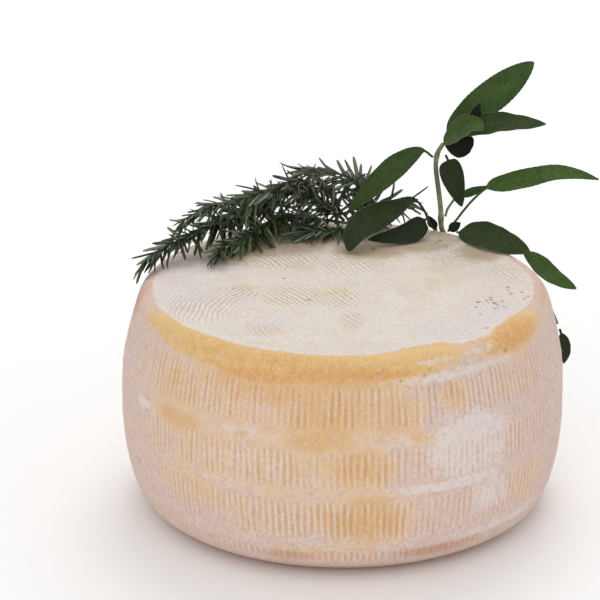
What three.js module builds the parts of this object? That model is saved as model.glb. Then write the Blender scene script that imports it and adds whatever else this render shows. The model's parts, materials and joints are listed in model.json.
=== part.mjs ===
// A whole wheel of basket-moulded hard cheese, with rosemary and a sprig of sage laid on it.
// Millimetres, +Z up. The origin is the centre of the underside, and the front of the wheel faces -Y.
import * as THREE from "three";

// ------------------------------------------------------------------ driving dimensions

const WHEEL = {
  height: 138,
  radius: 134.7, // at the belly, the fullest girth of the wall
  bellyHeight: 75,
  gauge: 60, // away from the belly by this height, the wall has drawn in by the next two sizes
  drawnInBelow: 8.15, // growing with the cube of the height
  drawnInAbove: 12, // growing with its square
  footReach: 22, // the bottom edge is a quarter ellipse, this far inwards and this far up
  footRise: 14.7,
  rimReach: 6.6, // and so is the top edge
  rimRise: 6.4,
};
const SEAMS = [9, 26, 58.5, 90.5, 122]; // heights of the smooth lines between the basket's bands
const RIBS = 216; // upright ribs round the wall, 3.9 mm apart
const RIB_DEPTH = 0.55;
const FACE_RIPPLE = 0.35; // how far the flat faces and the wall wander
const AIR = 0.35; // least gap between two pieces that touch

const ROSEMARY = {
  stemRadius: 1.05,
  ringStep: 4.9, // distance between two rows of needles
  needleLength: 15.5,
  needleWidth: 1.9,
  needleDepth: 1.2,
};
const SAGE = {
  footRadius: 2.1, // the main stem where it stands on the ground
  headRadius: 1.35, // and where it ends in the top leaves
  sideRadius: 1.3, // a side stem where it begins
  stalkRadius: 0.75,
  bladeThickness: 0.9,
  edgeThickness: 0.6,
};

const COLOURS = {
  rind: 0xe3cdae,
  needle: 0x2f3d2b,
  sageStem: 0x7d8d68,
  sageLeaf: 0x3d5534,
  sageLeafUnder: 0x252e25,
};

// ------------------------------------------------------------------ small helpers

const vector = (p) => new THREE.Vector3(...p);
const clamp = THREE.MathUtils.clamp;

// The same run of random numbers each time.
function randomFrom(seed) {
  let state = seed;
  return () => {
    state = (state * 1664525 + 1013904223) % 4294967296;
    return state / 4294967296;
  };
}

// A closed surface that is put together from points and triangles.
class Shell {
  constructor() {
    this.points = [];
    this.faces = [];
  }
  point(p) {
    this.points.push(p.x, p.y, p.z);
    return this.points.length / 3 - 1;
  }
  face(a, b, c) {
    this.faces.push(a, b, c);
  }
  quad(a, b, c, d) {
    this.face(a, b, c);
    this.face(a, c, d);
  }
  mesh(name, colour, roughness) {
    const geometry = new THREE.BufferGeometry();
    geometry.setAttribute("position", new THREE.Float32BufferAttribute(this.points, 3));
    geometry.setIndex(this.faces);
    geometry.computeVertexNormals();
    const material = new THREE.MeshStandardMaterial({ color: colour, roughness, metalness: 0 });
    const mesh = new THREE.Mesh(geometry, material);
    mesh.name = name;
    return mesh;
  }
}

// ------------------------------------------------------------------ the wheel

const quarterEllipse = (reach, t) => reach * (1 - Math.sqrt(1 - t * t));

// Radius of the smooth wall at a height.
function wallRadius(z) {
  const { height, bellyHeight, footReach, footRise, rimReach, rimRise } = WHEEL;
  const away = Math.abs(z - bellyHeight) / WHEEL.gauge;
  const drawnIn = z < bellyHeight ? WHEEL.drawnInBelow * away ** 3 : WHEEL.drawnInAbove * away ** 2;
  const wall = WHEEL.radius - drawnIn;
  const inFoot = clamp((footRise - z) / footRise, 0, 1);
  const inRim = clamp((z - height + rimRise) / rimRise, 0, 1);
  return wall - quarterEllipse(footReach, inFoot) - quarterEllipse(rimReach, inRim);
}

// The wall and the rim lean in and out a little, as a wheel that was turned by hand does.
function wander(angle, z) {
  const slow = Math.sin(3 * angle + 0.6) + 0.6 * Math.sin(5 * angle - z / 30);
  return FACE_RIPPLE * (slow + 0.4 * Math.sin(9 * angle + z / 17));
}

// Height of the upper face, which is flat but not true.
function topHeight(x, y) {
  return WHEEL.height + FACE_RIPPLE * Math.sin(x / 21 + 1) * Math.cos(y / 27);
}

// Ribs are sharp in some places and nearly rubbed away in others.
function ribDepth(angle, z) {
  const worn = 0.5 + 0.3 * Math.sin(4 * angle + z / 20) + 0.2 * Math.sin(11 * angle - z / 9);
  return RIB_DEPTH * (0.45 + 0.55 * worn);
}

// Points of one level ring, counter-clockwise from above.
function ring(shell, count, height, radiusAt, heightAt = () => height) {
  const indices = [];
  for (let i = 0; i < count; i++) {
    const angle = (i / count) * 2 * Math.PI;
    const r = radiusAt(angle);
    const x = r * Math.cos(angle);
    const y = r * Math.sin(angle);
    indices.push(shell.point({ x, y, z: heightAt(x, y, angle) }));
  }
  return indices;
}

// Closes the surface between two rings, of which one may have half the other's points or be one point.
function join(shell, lower, upper) {
  const at = (list, i) => list[i % list.length];
  const [fewer, more] = [lower.length, upper.length].sort((a, b) => a - b);
  const cells = fewer === 1 ? more : fewer;
  for (let i = 0; i < cells; i++) {
    if (lower.length === 1) {
      shell.face(lower[0], at(upper, i + 1), at(upper, i));
    } else if (upper.length === 1) {
      shell.face(at(lower, i), at(lower, i + 1), upper[0]);
    } else if (lower.length === upper.length) {
      shell.quad(at(lower, i), at(lower, i + 1), at(upper, i + 1), at(upper, i));
    } else if (lower.length > upper.length) {
      shell.face(at(lower, 2 * i), at(lower, 2 * i + 1), at(upper, i));
      shell.face(at(lower, 2 * i + 1), at(upper, i + 1), at(upper, i));
      shell.face(at(lower, 2 * i + 1), at(lower, 2 * i + 2), at(upper, i + 1));
    } else {
      shell.face(at(lower, i), at(upper, 2 * i + 1), at(upper, 2 * i));
      shell.face(at(lower, i), at(lower, i + 1), at(upper, 2 * i + 1));
      shell.face(at(lower, i + 1), at(upper, 2 * i + 2), at(upper, 2 * i + 1));
    }
  }
}

// A seam wanders up and down by a millimetre, but not where the wall meets the foot.
const seamHeight = (seam, angle) =>
  seam + (seam > SEAMS[0] ? 0.7 * Math.sin(2 * angle + seam) + 0.4 * Math.sin(7 * angle - seam) : 0);

function seamRing(shell, seam) {
  const radiusAt = (angle) => wallRadius(seamHeight(seam, angle)) + wander(angle, seam);
  return ring(shell, RIBS, seam, radiusAt, (x, y, angle) => seamHeight(seam, angle));
}

// A band of upright grooves between two seams. Each groove runs out just short of both seams, so
// the ribs stand between grooves and the seams stay smooth. A low band has room for a mere notch.
function ribbedBand(shell, lowerSeam, upperSeam, lower, upper) {
  const runOut = 0.14;
  const shares = upperSeam - lowerSeam < 20 ? [0.5] : [runOut, 1 - runOut];
  for (let i = 0; i < RIBS; i++) {
    const angle = ((i + 0.5) / RIBS) * 2 * Math.PI;
    const groove = shares.map((share) => {
      const low = seamHeight(lowerSeam, angle);
      const z = low + share * (seamHeight(upperSeam, angle) - low);
      const r = wallRadius(z) + wander(angle, z) - ribDepth(angle, z);
      return shell.point({ x: r * Math.cos(angle), y: r * Math.sin(angle), z });
    });
    const next = (i + 1) % RIBS;
    const [foot, head] = [groove[0], groove.at(-1)];
    shell.face(lower[i], lower[next], foot);
    if (foot !== head) {
      shell.face(lower[i], foot, head);
      shell.face(lower[next], head, foot);
    }
    shell.face(lower[i], head, upper[i]);
    shell.face(lower[next], upper[next], head);
    shell.face(head, upper[next], upper[i]);
  }
}

function cheeseWheel() {
  const shell = new Shell();
  const smooth = (z) => ring(shell, RIBS / 2, z, (angle) => wallRadius(z) + wander(angle, z));
  const onTop = (count, r) => ring(shell, count, WHEEL.height, () => r, topHeight);
  const footRadius = wallRadius(0);

  const rings = [
    [shell.point({ x: 0, y: 0, z: 0 })],
    ring(shell, RIBS / 4, 0, () => 0.55 * footRadius),
    smooth(0),
    smooth(1.2),
    smooth(4.5),
    seamRing(shell, SEAMS[0]),
  ];
  for (let i = 1; i < rings.length; i++) join(shell, rings[i - 1], rings[i]);

  let below = rings.at(-1);
  for (let i = 1; i < SEAMS.length; i++) {
    const above = seamRing(shell, SEAMS[i]);
    ribbedBand(shell, SEAMS[i - 1], SEAMS[i], below, above);
    below = above;
  }

  const edge = wallRadius(WHEEL.height);
  const crown = [
    below,
    smooth(127),
    smooth(132.5),
    smooth(136.6),
    onTop(RIBS / 2, edge - 1),
    onTop(RIBS / 4, 0.8 * edge),
    onTop(RIBS / 4, 0.55 * edge),
    onTop(RIBS / 8, 0.28 * edge),
    [shell.point({ x: 0, y: 0, z: topHeight(0, 0) })],
  ];
  for (let i = 1; i < crown.length; i++) join(shell, crown[i - 1], crown[i]);
  return shell.mesh("cheese_wheel", COLOURS.rind, 0.85);
}

// True where a point is in the wheel or nearer to it than the gap.
function touchesWheel(p, gap) {
  const reach = Math.hypot(p.x, p.y);
  const top = WHEEL.height + FACE_RIPPLE + gap;
  return p.z < top && reach < wallRadius(clamp(p.z, 0, WHEEL.height)) + 2 * FACE_RIPPLE + gap;
}

// ------------------------------------------------------------------ stems

// Rings of points along a curve, round a stem whose radius is given along its length.
function stemRings(shell, points, steps, sides, radiusAt) {
  const curve = new THREE.CatmullRomCurve3(points.map(vector), false, "centripetal");
  const frames = curve.computeFrenetFrames(steps, false);
  const stations = [];
  for (let i = 0; i <= steps; i++) {
    const centre = curve.getPointAt(i / steps);
    const radius = radiusAt(i / steps);
    const indices = [];
    for (let j = 0; j < sides; j++) {
      const angle = (j / sides) * 2 * Math.PI;
      const p = centre.clone();
      p.addScaledVector(frames.normals[i], radius * Math.cos(angle));
      p.addScaledVector(frames.binormals[i], radius * Math.sin(angle));
      indices.push(shell.point(p));
    }
    stations.push({ centre, radius, indices, along: frames.tangents[i] });
  }
  return stations;
}

// Everything already placed among the herbs, as straight bars: new needles keep clear of them.
const bars = [];

function addBar(from, to, radius, owner) {
  bars.push({ line: new THREE.Line3(from.clone(), to.clone()), radius, owner });
}

function addStemBars(stations, owner) {
  for (let i = 1; i < stations.length; i++) {
    addBar(stations[i - 1].centre, stations[i].centre, stations[i].radius, owner);
  }
}

function stem(name, points, steps, radiusAt, colour) {
  const sides = 6;
  const shell = new Shell();
  const stations = stemRings(shell, points, steps, sides, radiusAt);
  const first = stations[0];
  const last = stations.at(-1);
  const start = shell.point(first.centre);
  const end = shell.point(last.centre);
  for (let j = 0; j < sides; j++) {
    const next = (j + 1) % sides;
    shell.face(start, first.indices[next], first.indices[j]);
    shell.face(end, last.indices[j], last.indices[next]);
    for (let i = 1; i <= steps; i++) {
      const a = stations[i - 1].indices;
      const b = stations[i].indices;
      shell.quad(a[j], a[next], b[next], b[j]);
    }
  }
  addStemBars(stations, name);
  return shell.mesh(name, colour, 0.7);
}

// ------------------------------------------------------------------ sage leaves

// Half width of a leaf along its length: a thin stalk, then a blade. A blade with a peak under 1 is
// fullest before its middle, and the smaller blunt is, the rounder are its two ends.
function leafHalfWidth({ width, stalk, peak = 0.85, blunt = 0.75 }, t) {
  const blade = clamp((t - stalk) / (1 - stalk), 0, 1);
  const fullness = Math.max(Math.sin(Math.PI * blade ** peak), 0) ** blunt;
  return Math.max(SAGE.stalkRadius, (width / 2) * fullness);
}

// A thin wavy blade on its stalk, as one closed sheet. The face vector says where its upper side looks.
function sageLeaf(leaf) {
  const rows = leaf.width > 12 ? 7 : 5;
  const columns = leaf.width > 12 ? 4 : 2;
  const curve = new THREE.CatmullRomCurve3(leaf.spine.map(vector), false, "centripetal");
  const shell = new Shell();
  const top = [];
  const under = [];
  for (let i = 0; i <= rows; i++) {
    const t = i / rows;
    const along = curve.getTangentAt(t);
    const side = new THREE.Vector3().crossVectors(along, vector(leaf.face)).normalize();
    const out = new THREE.Vector3().crossVectors(side, along);
    const half = leafHalfWidth(leaf, t);
    top.push([]);
    under.push([]);
    const edges = [];
    for (let j = 0; j <= columns; j++) {
      const u = (2 * j) / columns - 1;
      const wave = 0.1 * Math.sin(9 * t + 2 * u + leaf.width) * Math.abs(u);
      const lift = half * (leaf.cup * u * u + wave);
      const p = curve.getPointAt(t).addScaledVector(side, half * u).addScaledVector(out, lift);
      const thick = THREE.MathUtils.lerp(SAGE.bladeThickness, SAGE.edgeThickness, Math.abs(u));
      top[i].push(shell.point(p.clone().addScaledVector(out, thick / 2)));
      under[i].push(shell.point(p.clone().addScaledVector(out, -thick / 2)));
      if (j === 0 || j === columns) edges.push(p);
    }
    addBar(edges[0], edges[1], 2, leaf.name);
  }
  for (let i = 1; i <= rows; i++) {
    const [a, b, c, d] = [top[i - 1], top[i], under[i - 1], under[i]];
    for (let j = 1; j <= columns; j++) {
      shell.quad(a[j - 1], a[j], b[j], b[j - 1]);
      shell.face(c[j - 1], d[j], c[j]);
      shell.face(c[j - 1], d[j - 1], d[j]);
    }
    shell.quad(a[0], b[0], d[0], c[0]);
    shell.quad(a[columns], c[columns], d[columns], b[columns]);
  }
  for (let j = 1; j <= columns; j++) {
    shell.quad(top[0][j - 1], under[0][j - 1], under[0][j], top[0][j]);
    shell.quad(top[rows][j - 1], top[rows][j], under[rows][j], under[rows][j - 1]);
  }
  return shell.mesh(leaf.name, leaf.dark ? COLOURS.sageLeafUnder : COLOURS.sageLeaf, 0.75);
}

const SAGE_LEAVES = [
  {
    name: "sage_leaf_top",
    spine: [[64.6, 100.9, 198.9], [69.1, 101.2, 207.6], [80.3, 103, 216.8], [94.5, 105.5, 227],
      [118.5, 108, 247.1]],
    face: [-0.15, -0.95, 0.25], width: 20.5, stalk: 0.03, cup: 0.16, peak: 1.1, blunt: 0.62,
  },
  {
    name: "sage_leaf_right_high",
    spine: [[68.3, 94.9, 201.3], [79.5, 91.5, 208.4], [93, 89.5, 212.1], [109.7, 88, 213.3],
      [125.8, 87, 213.1]],
    face: [0, -0.42, 0.9], width: 19, stalk: 0.08, cup: 0.14, peak: 0.85,
  },
  {
    name: "sage_leaf_curled",
    spine: [[62.5, 95.5, 197], [65.7, 92, 201.7], [70.7, 87, 207.4], [76.4, 81, 212.4], [81.9, 77, 215],
      [86.2, 73, 213.6]],
    face: [-0.35, -0.62, 0.7], width: 17, stalk: 0.03, cup: 0.3, peak: 0.95, blunt: 0.6,
  },
  {
    name: "sage_leaf_under",
    spine: [[69.3, 97.4, 201.5], [71.5, 95.6, 198.4], [72.4, 94, 194], [72.3, 92.8, 189]],
    face: [0.3, -0.8, 0.5], width: 19.5, stalk: 0.04, cup: 0.2, peak: 0.7, blunt: 0.6, dark: true,
  },
  {
    name: "sage_leaf_hanging",
    spine: [[64.1, 96.6, 189.7], [66, 95.5, 185.9], [67.7, 94, 180], [70.6, 92.5, 170.4], [74.7, 92, 157.2]],
    face: [-0.1, -1, 0.15], width: 14.8, stalk: 0.1, cup: 0.14, peak: 0.52, blunt: 0.62, dark: true,
  },
  {
    name: "sage_leaf_left_high",
    spine: [[56.2, 98, 187.8], [49.7, 96, 192.7], [38, 90, 188], [21.4, 86, 174.5], [3.5, 84, 156.3]],
    face: [-0.35, -0.85, 0.45], width: 15.5, stalk: 0.1, cup: 0.14, peak: 0.85,
  },
  {
    name: "sage_leaf_left_low",
    spine: [[58.5, 97.4, 139.5], [55, 95.2, 143.7], [51.4, 93, 153.5], [44.6, 90.5, 161.9], [32.3, 84, 158.2],
      [15.3, 72, 152.9], [7.6, 63, 148.2], [3.6, 55.4, 139.8]],
    face: [-0.3, -0.8, 0.5], width: 19, stalk: 0.28, cup: 0.12, peak: 1.35, blunt: 0.6,
  },
  {
    name: "sage_leaf_lying",
    spine: [[54.4, 91.5, 150], [49.7, 89.6, 147.4], [43.3, 81.5, 143.2], [31.2, 75.1, 142.4],
      [15.9, 72, 141.6]],
    face: [0.1, -0.62, 0.76], width: 15, stalk: 0.08, cup: 0.12, peak: 0.55, blunt: 0.65, dark: true,
  },
  {
    name: "sage_leaf_long",
    spine: [[67.1, 98.4, 138.9], [71.4, 99.4, 145], [82.3, 102, 158.3], [91.8, 103, 166.3], [103, 103, 169],
      [114.6, 102.6, 172], [133.7, 102, 176.5], [147.5, 101, 175.9], [160.9, 100, 172.8]],
    face: [0.05, -0.75, 0.66], width: 13.3, stalk: 0.34, cup: 0.16, peak: 0.62, blunt: 0.7,
  },
  {
    name: "sage_leaf_small",
    spine: [[71.5, 107.2, 157.9], [79.8, 107.5, 160.9], [91, 109, 164.9]],
    face: [0, -0.8, 0.6], width: 5.6, stalk: 0.1, cup: 0.1,
  },
  {
    name: "sage_leaf_rim_1",
    spine: [[71.8, 90, 140.6], [80.2, 82, 143.1], [90.3, 72, 143.8], [101.5, 62, 143], [115.6, 50.5, 141.5]],
    face: [-0.2, -0.55, 0.8], width: 20, stalk: 0.04, cup: 0.12, peak: 0.8, blunt: 0.62,
  },
  {
    name: "sage_leaf_rim_2",
    spine: [[111.3, 63, 138.6], [118.6, 55, 135.7], [128.9, 46, 128.2], [144.1, 38.5, 122]],
    face: [0.05, -0.62, 0.78], width: 12.5, stalk: 0.04, cup: 0.12, peak: 0.95, blunt: 0.65,
  },
  {
    name: "sage_leaf_side",
    spine: [[135, 42, 94], [137, 40.5, 87.8], [138.2, 39, 80.6], [138, 38, 72.6]],
    face: [0.35, -0.93, 0.05], width: 8.5, stalk: 0.12, cup: 0.2, dark: true,
  },
  {
    name: "sage_leaf_base_left",
    spine: [[59.5, 100.8, 138.1], [56.7, 99.5, 143.3], [53.4, 98.8, 148.6]],
    face: [-0.3, -0.9, 0.2], width: 6, stalk: 0.1, cup: 0.15, dark: true,
  },
  {
    name: "sage_leaf_base_right",
    spine: [[66.2, 95.6, 139.2], [70, 95.8, 141.8], [74.3, 96.2, 144.7]],
    face: [0, -0.85, 0.5], width: 6.5, stalk: 0.1, cup: 0.15, dark: true,
  },
  {
    name: "sage_leaf_tip",
    spine: [[82.1, 90, 213.9], [82.4, 90.5, 218.1], [84.8, 91.5, 225]],
    face: [-0.2, -0.9, 0.3], width: 7, stalk: 0.05, cup: 0.12, peak: 0.6, dark: true,
  },
];

// ------------------------------------------------------------------ sage stems

const taper = (thick, thin) => (t) => THREE.MathUtils.lerp(thick, thin, t);

// The main stem stands behind the wheel and leans on its rim. Cut at the foot, it ends in the top leaves.
const SAGE_STEM = [
  [77, 130, 1.8], [74.6, 125.5, 60], [72, 119.5, 105], [66.4, 112.5, 128.5], [62.5, 101.5, 139.8],
  [61.7, 100, 153.3], [59.8, 99.5, 168.1], [58.3, 99.5, 179.3], [58.3, 99.5, 184.9],
  [59.4, 99.8, 190.3], [62.6, 100, 196],
];
const SIDE_STALK = [[64.8, 101.8, 147], [66.4, 103.8, 151.6], [70.7, 106.6, 157.2]];
// A low side stem runs round the back of the rim and lets its last leaf hang at the side.
const LOW_STEM = [
  [71.4, 113, 127.6], [84.2, 101.4, 128.6], [103, 81.5, 126.5], [117, 62, 119.5],
  [127.5, 50, 109], [133.9, 43.6, 96.8],
];

function sageStems() {
  const { footRadius, headRadius, sideRadius, stalkRadius } = SAGE;
  return [
    stem("sage_stem", SAGE_STEM, 18, taper(footRadius, headRadius), COLOURS.sageStem),
    stem("sage_stalk", SIDE_STALK, 3, taper(stalkRadius, stalkRadius), COLOURS.sageStem),
    stem("sage_low_stem", LOW_STEM, 10, taper(sideRadius, stalkRadius), COLOURS.sageStem),
  ];
}

// ------------------------------------------------------------------ rosemary

const STEM_SIDES = 4; // a young rosemary stem is square
const ROUND = 1.7; // a three-sided needle is this much narrower across than twice its reach
const SPRIGS = [
  {
    name: "rosemary_sprig_front",
    bare: 0.26, // the share of the stem, from its root, that carries no needles
    path: [[3, 108, 141.4], [-14, 112, 143], [-25, 116, 144], [-36, 112, 146.5], [-48, 101, 147.6],
      [-62, 76, 147.6], [-76, 58, 146.6], [-90, 32, 145.5]],
  },
  {
    name: "rosemary_sprig_left",
    bare: 0.06,
    path: [[-32, 115.6, 147.8], [-47, 109.5, 152], [-65, 94, 152.5], [-82, 68, 152.5], [-97, 48, 151.5],
      [-114, 29, 148.5], [-130, 11, 141.5]],
  },
  {
    name: "rosemary_sprig_upper",
    bare: 0.08,
    path: [[0.6, 107, 144.3], [-8, 104, 153], [-17, 100, 161], [-23, 96, 171], [-30, 92, 175], [-45, 82, 173],
      [-62, 74, 170], [-82, 66, 167.4], [-96, 56, 163.4], [-105, 46, 160.4]],
  },
  {
    name: "rosemary_sprig_back",
    bare: 0.05,
    path: [[3.8, 111.4, 142.6], [9.5, 111.4, 150.5], [12.5, 110, 158], [11, 109, 165], [1, 108, 170.5],
      [-11, 107, 173.5], [-22, 106, 174]],
  },
  {
    name: "rosemary_sprig_inner",
    bare: 0.05,
    path: [[-10.4, 112, 148], [-17.6, 112.5, 153.5], [-28.8, 111, 158], [-41.9, 107, 157], [-53.7, 103, 153.5]],
  },
  {
    name: "rosemary_sprig_middle",
    bare: 0.05,
    path: [[-1.5, 111.2, 144.2], [-4.5, 110.4, 152], [-8.5, 109, 160], [-15, 107.6, 167.4]],
  },
  {
    name: "rosemary_sprig_low",
    bare: 0.1,
    path: [[0.6, 104, 141.6], [-9, 101.4, 142.4], [-20, 98.6, 143], [-31, 97.4, 143.6]],
  },
  {
    name: "rosemary_sprig_right",
    bare: 0.1,
    path: [[5.6, 107, 144.2], [17, 106, 152.6], [33, 105, 157], [44, 103, 159]],
  },
];

// True where a needle from a to b would come too near to anything placed before it.
// It leaves the stem that it grows from, and the roots of its neighbours there, out of this.
function needleIsBlocked(a, b, owner) {
  const radius = ROSEMARY.needleWidth / ROUND;
  const free = a.clone().lerp(b, 0.3);
  const whole = new THREE.Line3(a, b);
  const outer = new THREE.Line3(free, b);
  for (const share of [0.2, 0.4, 0.6, 0.8, 1]) {
    if (touchesWheel(a.clone().lerp(b, share), radius + AIR)) return true;
  }
  return bars.some((bar) => {
    const own = bar.owner === owner;
    const least = bar.radius + radius + (own ? 0.1 : 2 * AIR);
    return (own ? outer : whole).distanceSqToLine3(bar.line) < least * least;
  });
}

// Grows one needle out of a triangle of the stem: three sides up to a waist, and three up to the tip.
function growNeedle(shell, corners, root, tip, sag) {
  const along = tip.clone().sub(root).normalize();
  const cornerPoint = new THREE.Vector3().fromArray(shell.points, 3 * corners[0]).sub(root);
  const first = cornerPoint.addScaledVector(along, -cornerPoint.dot(along)).normalize();
  const second = new THREE.Vector3().crossVectors(along, first);
  const waist = root.clone().lerp(tip, 0.5);
  waist.z += sag;
  const middle = [0, 1, 2].map((k) => {
    const angle = (k / 3) * 2 * Math.PI;
    const p = waist.clone().addScaledVector(first, (ROSEMARY.needleDepth / ROUND) * Math.cos(angle));
    return shell.point(p.addScaledVector(second, (ROSEMARY.needleWidth / ROUND) * Math.sin(angle)));
  });
  const end = shell.point(tip);
  for (let k = 0; k < 3; k++) {
    const next = (k + 1) % 3;
    shell.quad(corners[k], corners[next], middle[next], middle[k]);
    shell.face(middle[k], middle[next], end);
  }
}

// Chooses where a needle points: outwards and forwards, flatter near the sprig's tip, and drooping.
function needleTip(root, outward, along, t, random) {
  const spread = THREE.MathUtils.degToRad(62 - 30 * t ** 3 + 16 * (random() - 0.5));
  const direction = outward.clone().multiplyScalar(Math.sin(spread));
  direction.addScaledVector(along, Math.cos(spread));
  direction.x += 0.25 * (random() - 0.5);
  direction.y += 0.25 * (random() - 0.5);
  direction.z += 0.3 * (random() - 0.55);
  const length = ROSEMARY.needleLength * (0.75 + 0.45 * random()) * (1 - 0.25 * t ** 4);
  return root.clone().addScaledVector(direction.normalize(), length);
}

// The stem's own points, and the sprig's shell with nothing on it yet.
function rosemaryStem(sprig) {
  const shell = new Shell();
  const length = new THREE.CatmullRomCurve3(sprig.path.map(vector), false, "centripetal").getLength();
  const steps = Math.round(length / ROSEMARY.ringStep);
  const stations = stemRings(shell, sprig.path, steps, STEM_SIDES, taper(ROSEMARY.stemRadius, 0.6));
  addStemBars(stations, sprig.name);
  return { sprig, shell, stations };
}

function rosemarySprig({ sprig, shell, stations }, random) {
  const sides = STEM_SIDES;
  const steps = stations.length - 1;

  const centreOf = (corners) => {
    const sum = new THREE.Vector3();
    for (const corner of corners) sum.add(new THREE.Vector3().fromArray(shell.points, 3 * corner));
    return sum.divideScalar(3);
  };
  // Puts a needle on one facet of the stem, or leaves the facet bare where there is no room.
  const facet = (corners, axis, along, t, wanted) => {
    const root = centreOf(corners);
    const outward = root.clone().sub(axis).addScaledVector(along, -root.clone().sub(axis).dot(along));
    if (outward.lengthSq() < 0.01) outward.copy(along);
    outward.normalize();
    for (let attempt = 0; wanted && attempt < 5; attempt++) {
      const tip = needleTip(root, outward, along, t, random);
      tip.z += 1.6 * attempt;
      if (needleIsBlocked(root, tip, sprig.name)) continue;
      growNeedle(shell, corners, root, tip, 0.5 * random());
      addBar(root, tip, ROSEMARY.needleWidth / ROUND, sprig.name);
      return;
    }
    shell.face(...corners);
  };

  const first = stations[0];
  const last = stations.at(-1);
  shell.face(first.indices[0], first.indices[2], first.indices[1]);
  shell.face(first.indices[0], first.indices[3], first.indices[2]);
  for (let i = 1; i <= steps; i++) {
    const t = i / steps;
    const axis = stations[i - 1].centre.clone().lerp(stations[i].centre, 0.5);
    for (let j = 0; j < sides; j++) {
      const next = (j + 1) % sides;
      const a = stations[i - 1].indices;
      const b = stations[i].indices;
      const leafy = t > sprig.bare;
      const paired = (i + j) % 2 === 0;
      facet([a[j], a[next], b[next]], axis, stations[i].along, t, leafy && paired);
      facet([a[j], b[next], b[j]], axis, stations[i].along, t, leafy && (!paired || random() < 0.35));
    }
  }
  facet([last.indices[0], last.indices[1], last.indices[2]], last.centre, last.along, 1, true);
  facet([last.indices[0], last.indices[2], last.indices[3]], last.centre, last.along, 1, true);
  return shell.mesh(sprig.name, COLOURS.needle, 0.7);
}

// ------------------------------------------------------------------ the whole

const part = new THREE.Group();
part.name = "cheese_wheel_with_herbs";
part.add(cheeseWheel());

const herbs = new THREE.Group();
herbs.add(...sageStems());
for (const leaf of SAGE_LEAVES) herbs.add(sageLeaf(leaf));
const random = randomFrom(20);
const rosemaryStems = SPRIGS.map(rosemaryStem); // all stems lie in place before the first needle grows
for (const bareSprig of rosemaryStems) herbs.add(rosemarySprig(bareSprig, random));
part.add(herbs);

export default part;
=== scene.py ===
"""A whole wheel of basket-moulded hard cheese, with rosemary and a sprig of sage laid on it.

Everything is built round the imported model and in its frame: metres, +Z up, the origin at the centre
of the wheel's underside, the front of the wheel towards -Y. Sizes in this file are millimetres
unless they say otherwise, and MM turns them into metres.
"""
import json
import math
from functools import partial

import bpy
import numpy as np
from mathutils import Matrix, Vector

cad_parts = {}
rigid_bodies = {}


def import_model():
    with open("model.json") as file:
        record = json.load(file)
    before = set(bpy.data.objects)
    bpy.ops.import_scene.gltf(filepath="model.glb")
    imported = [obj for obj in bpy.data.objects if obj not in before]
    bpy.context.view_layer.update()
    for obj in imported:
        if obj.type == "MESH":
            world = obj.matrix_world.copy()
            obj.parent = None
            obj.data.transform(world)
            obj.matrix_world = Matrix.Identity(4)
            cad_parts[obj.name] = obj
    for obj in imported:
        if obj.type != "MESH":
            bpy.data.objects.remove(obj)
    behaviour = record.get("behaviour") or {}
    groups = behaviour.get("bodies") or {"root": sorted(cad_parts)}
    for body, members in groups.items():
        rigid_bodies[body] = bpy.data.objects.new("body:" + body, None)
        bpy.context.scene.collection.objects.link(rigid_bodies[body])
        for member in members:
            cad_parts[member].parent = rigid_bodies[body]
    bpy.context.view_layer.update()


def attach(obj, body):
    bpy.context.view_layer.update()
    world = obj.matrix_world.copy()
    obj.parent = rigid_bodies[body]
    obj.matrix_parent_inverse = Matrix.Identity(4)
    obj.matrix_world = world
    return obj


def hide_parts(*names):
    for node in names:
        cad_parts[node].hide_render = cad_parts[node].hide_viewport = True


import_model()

bl_info = {
    "name": "Cheese Wheel with Herbs",
    "version": (1, 0, 0),
    "blender": (4, 5, 0),
    "location": "View3D > Sidebar > Cheese",
    "description": "Builds a basket-moulded cheese wheel with rosemary and sage",
    "category": "Add Mesh",
}

MM = 0.001
TURN = 2 * math.pi

# ------------------------------------------------------------------ driving dimensions of the wheel

WALL = {
    "gauge": 60,  # away from the belly by this height, the wall has drawn in by the next two sizes
    "drawn_in_below": 8.15,  # growing with the cube of the height
    "drawn_in_above": 12,  # growing with its square
    "foot_reach": 22,  # the bottom edge is a quarter ellipse, this far inwards and this far up
    "foot_rise": 14.7,
    "rim_reach": 6.6,  # and so is the top edge
    "rim_rise": 6.4,
}
FACE_RIPPLE = 0.35  # how far the flat faces and the wall wander
COLUMNS_PER_RIB = 4
FACE_STEP = 0.92  # distance between two points of the upper face
RIB_SEED = 5
RIB_KNOTS = 14  # heights at which a groove's depth is drawn anew
RIB_DRAW = (0.25, 1.2)  # and the shares of the full depth it is drawn from; past 1 it is simply full
# The ribs lean to and fro: share of a rib, height and turns of each wave.
RIB_LEANS = ((0.08, 23, 5), (0.06, 7, 31), (0.05, 3, 57))
# The ends of the bands waver: how far, waves in a turn, and where the first begins.
BAND_WAVER = ((0.7, 2, 1), (0.4, 7, 0))
BAND_OVERRUN = 0.5  # the ribs begin to show this far outside a band's ends
BAND_RUN_OUT = (0.1, 0.8)  # and are full this share of its height and this many millimetres inside
GROOVE_POWER = 0.8  # under 1, the grooves are wide
CREST_POWER = 1.5  # over 1, the crests are narrow
# Where handling has rubbed the ribs away: degrees from the front on both sides, half width, and how much.
HANDLED = (76, 12, 0.75)
SEAM_SWELL = 0.3  # how far a seam stands out
SEAM_WIDTH = 2.2

# Where the basket's bands of ribs begin and end, and the height of the smooth seam over each.
RIB_BANDS = [(13.5, 21.5), (28.5, 56.0), (62.5, 87.5), (98.0, 124.0)]
SEAM_HEIGHTS = [24.5, 59.2, 89.6, 96.2]
DOT_HEIGHT = 93.0  # the row of dots between the two middle seams
DOT_HALF_HEIGHT = 1.1
DOT_FROM = (22, 28)  # the row comes up and goes out between these degrees from the front
DOT_TO = (54, 62)

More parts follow.
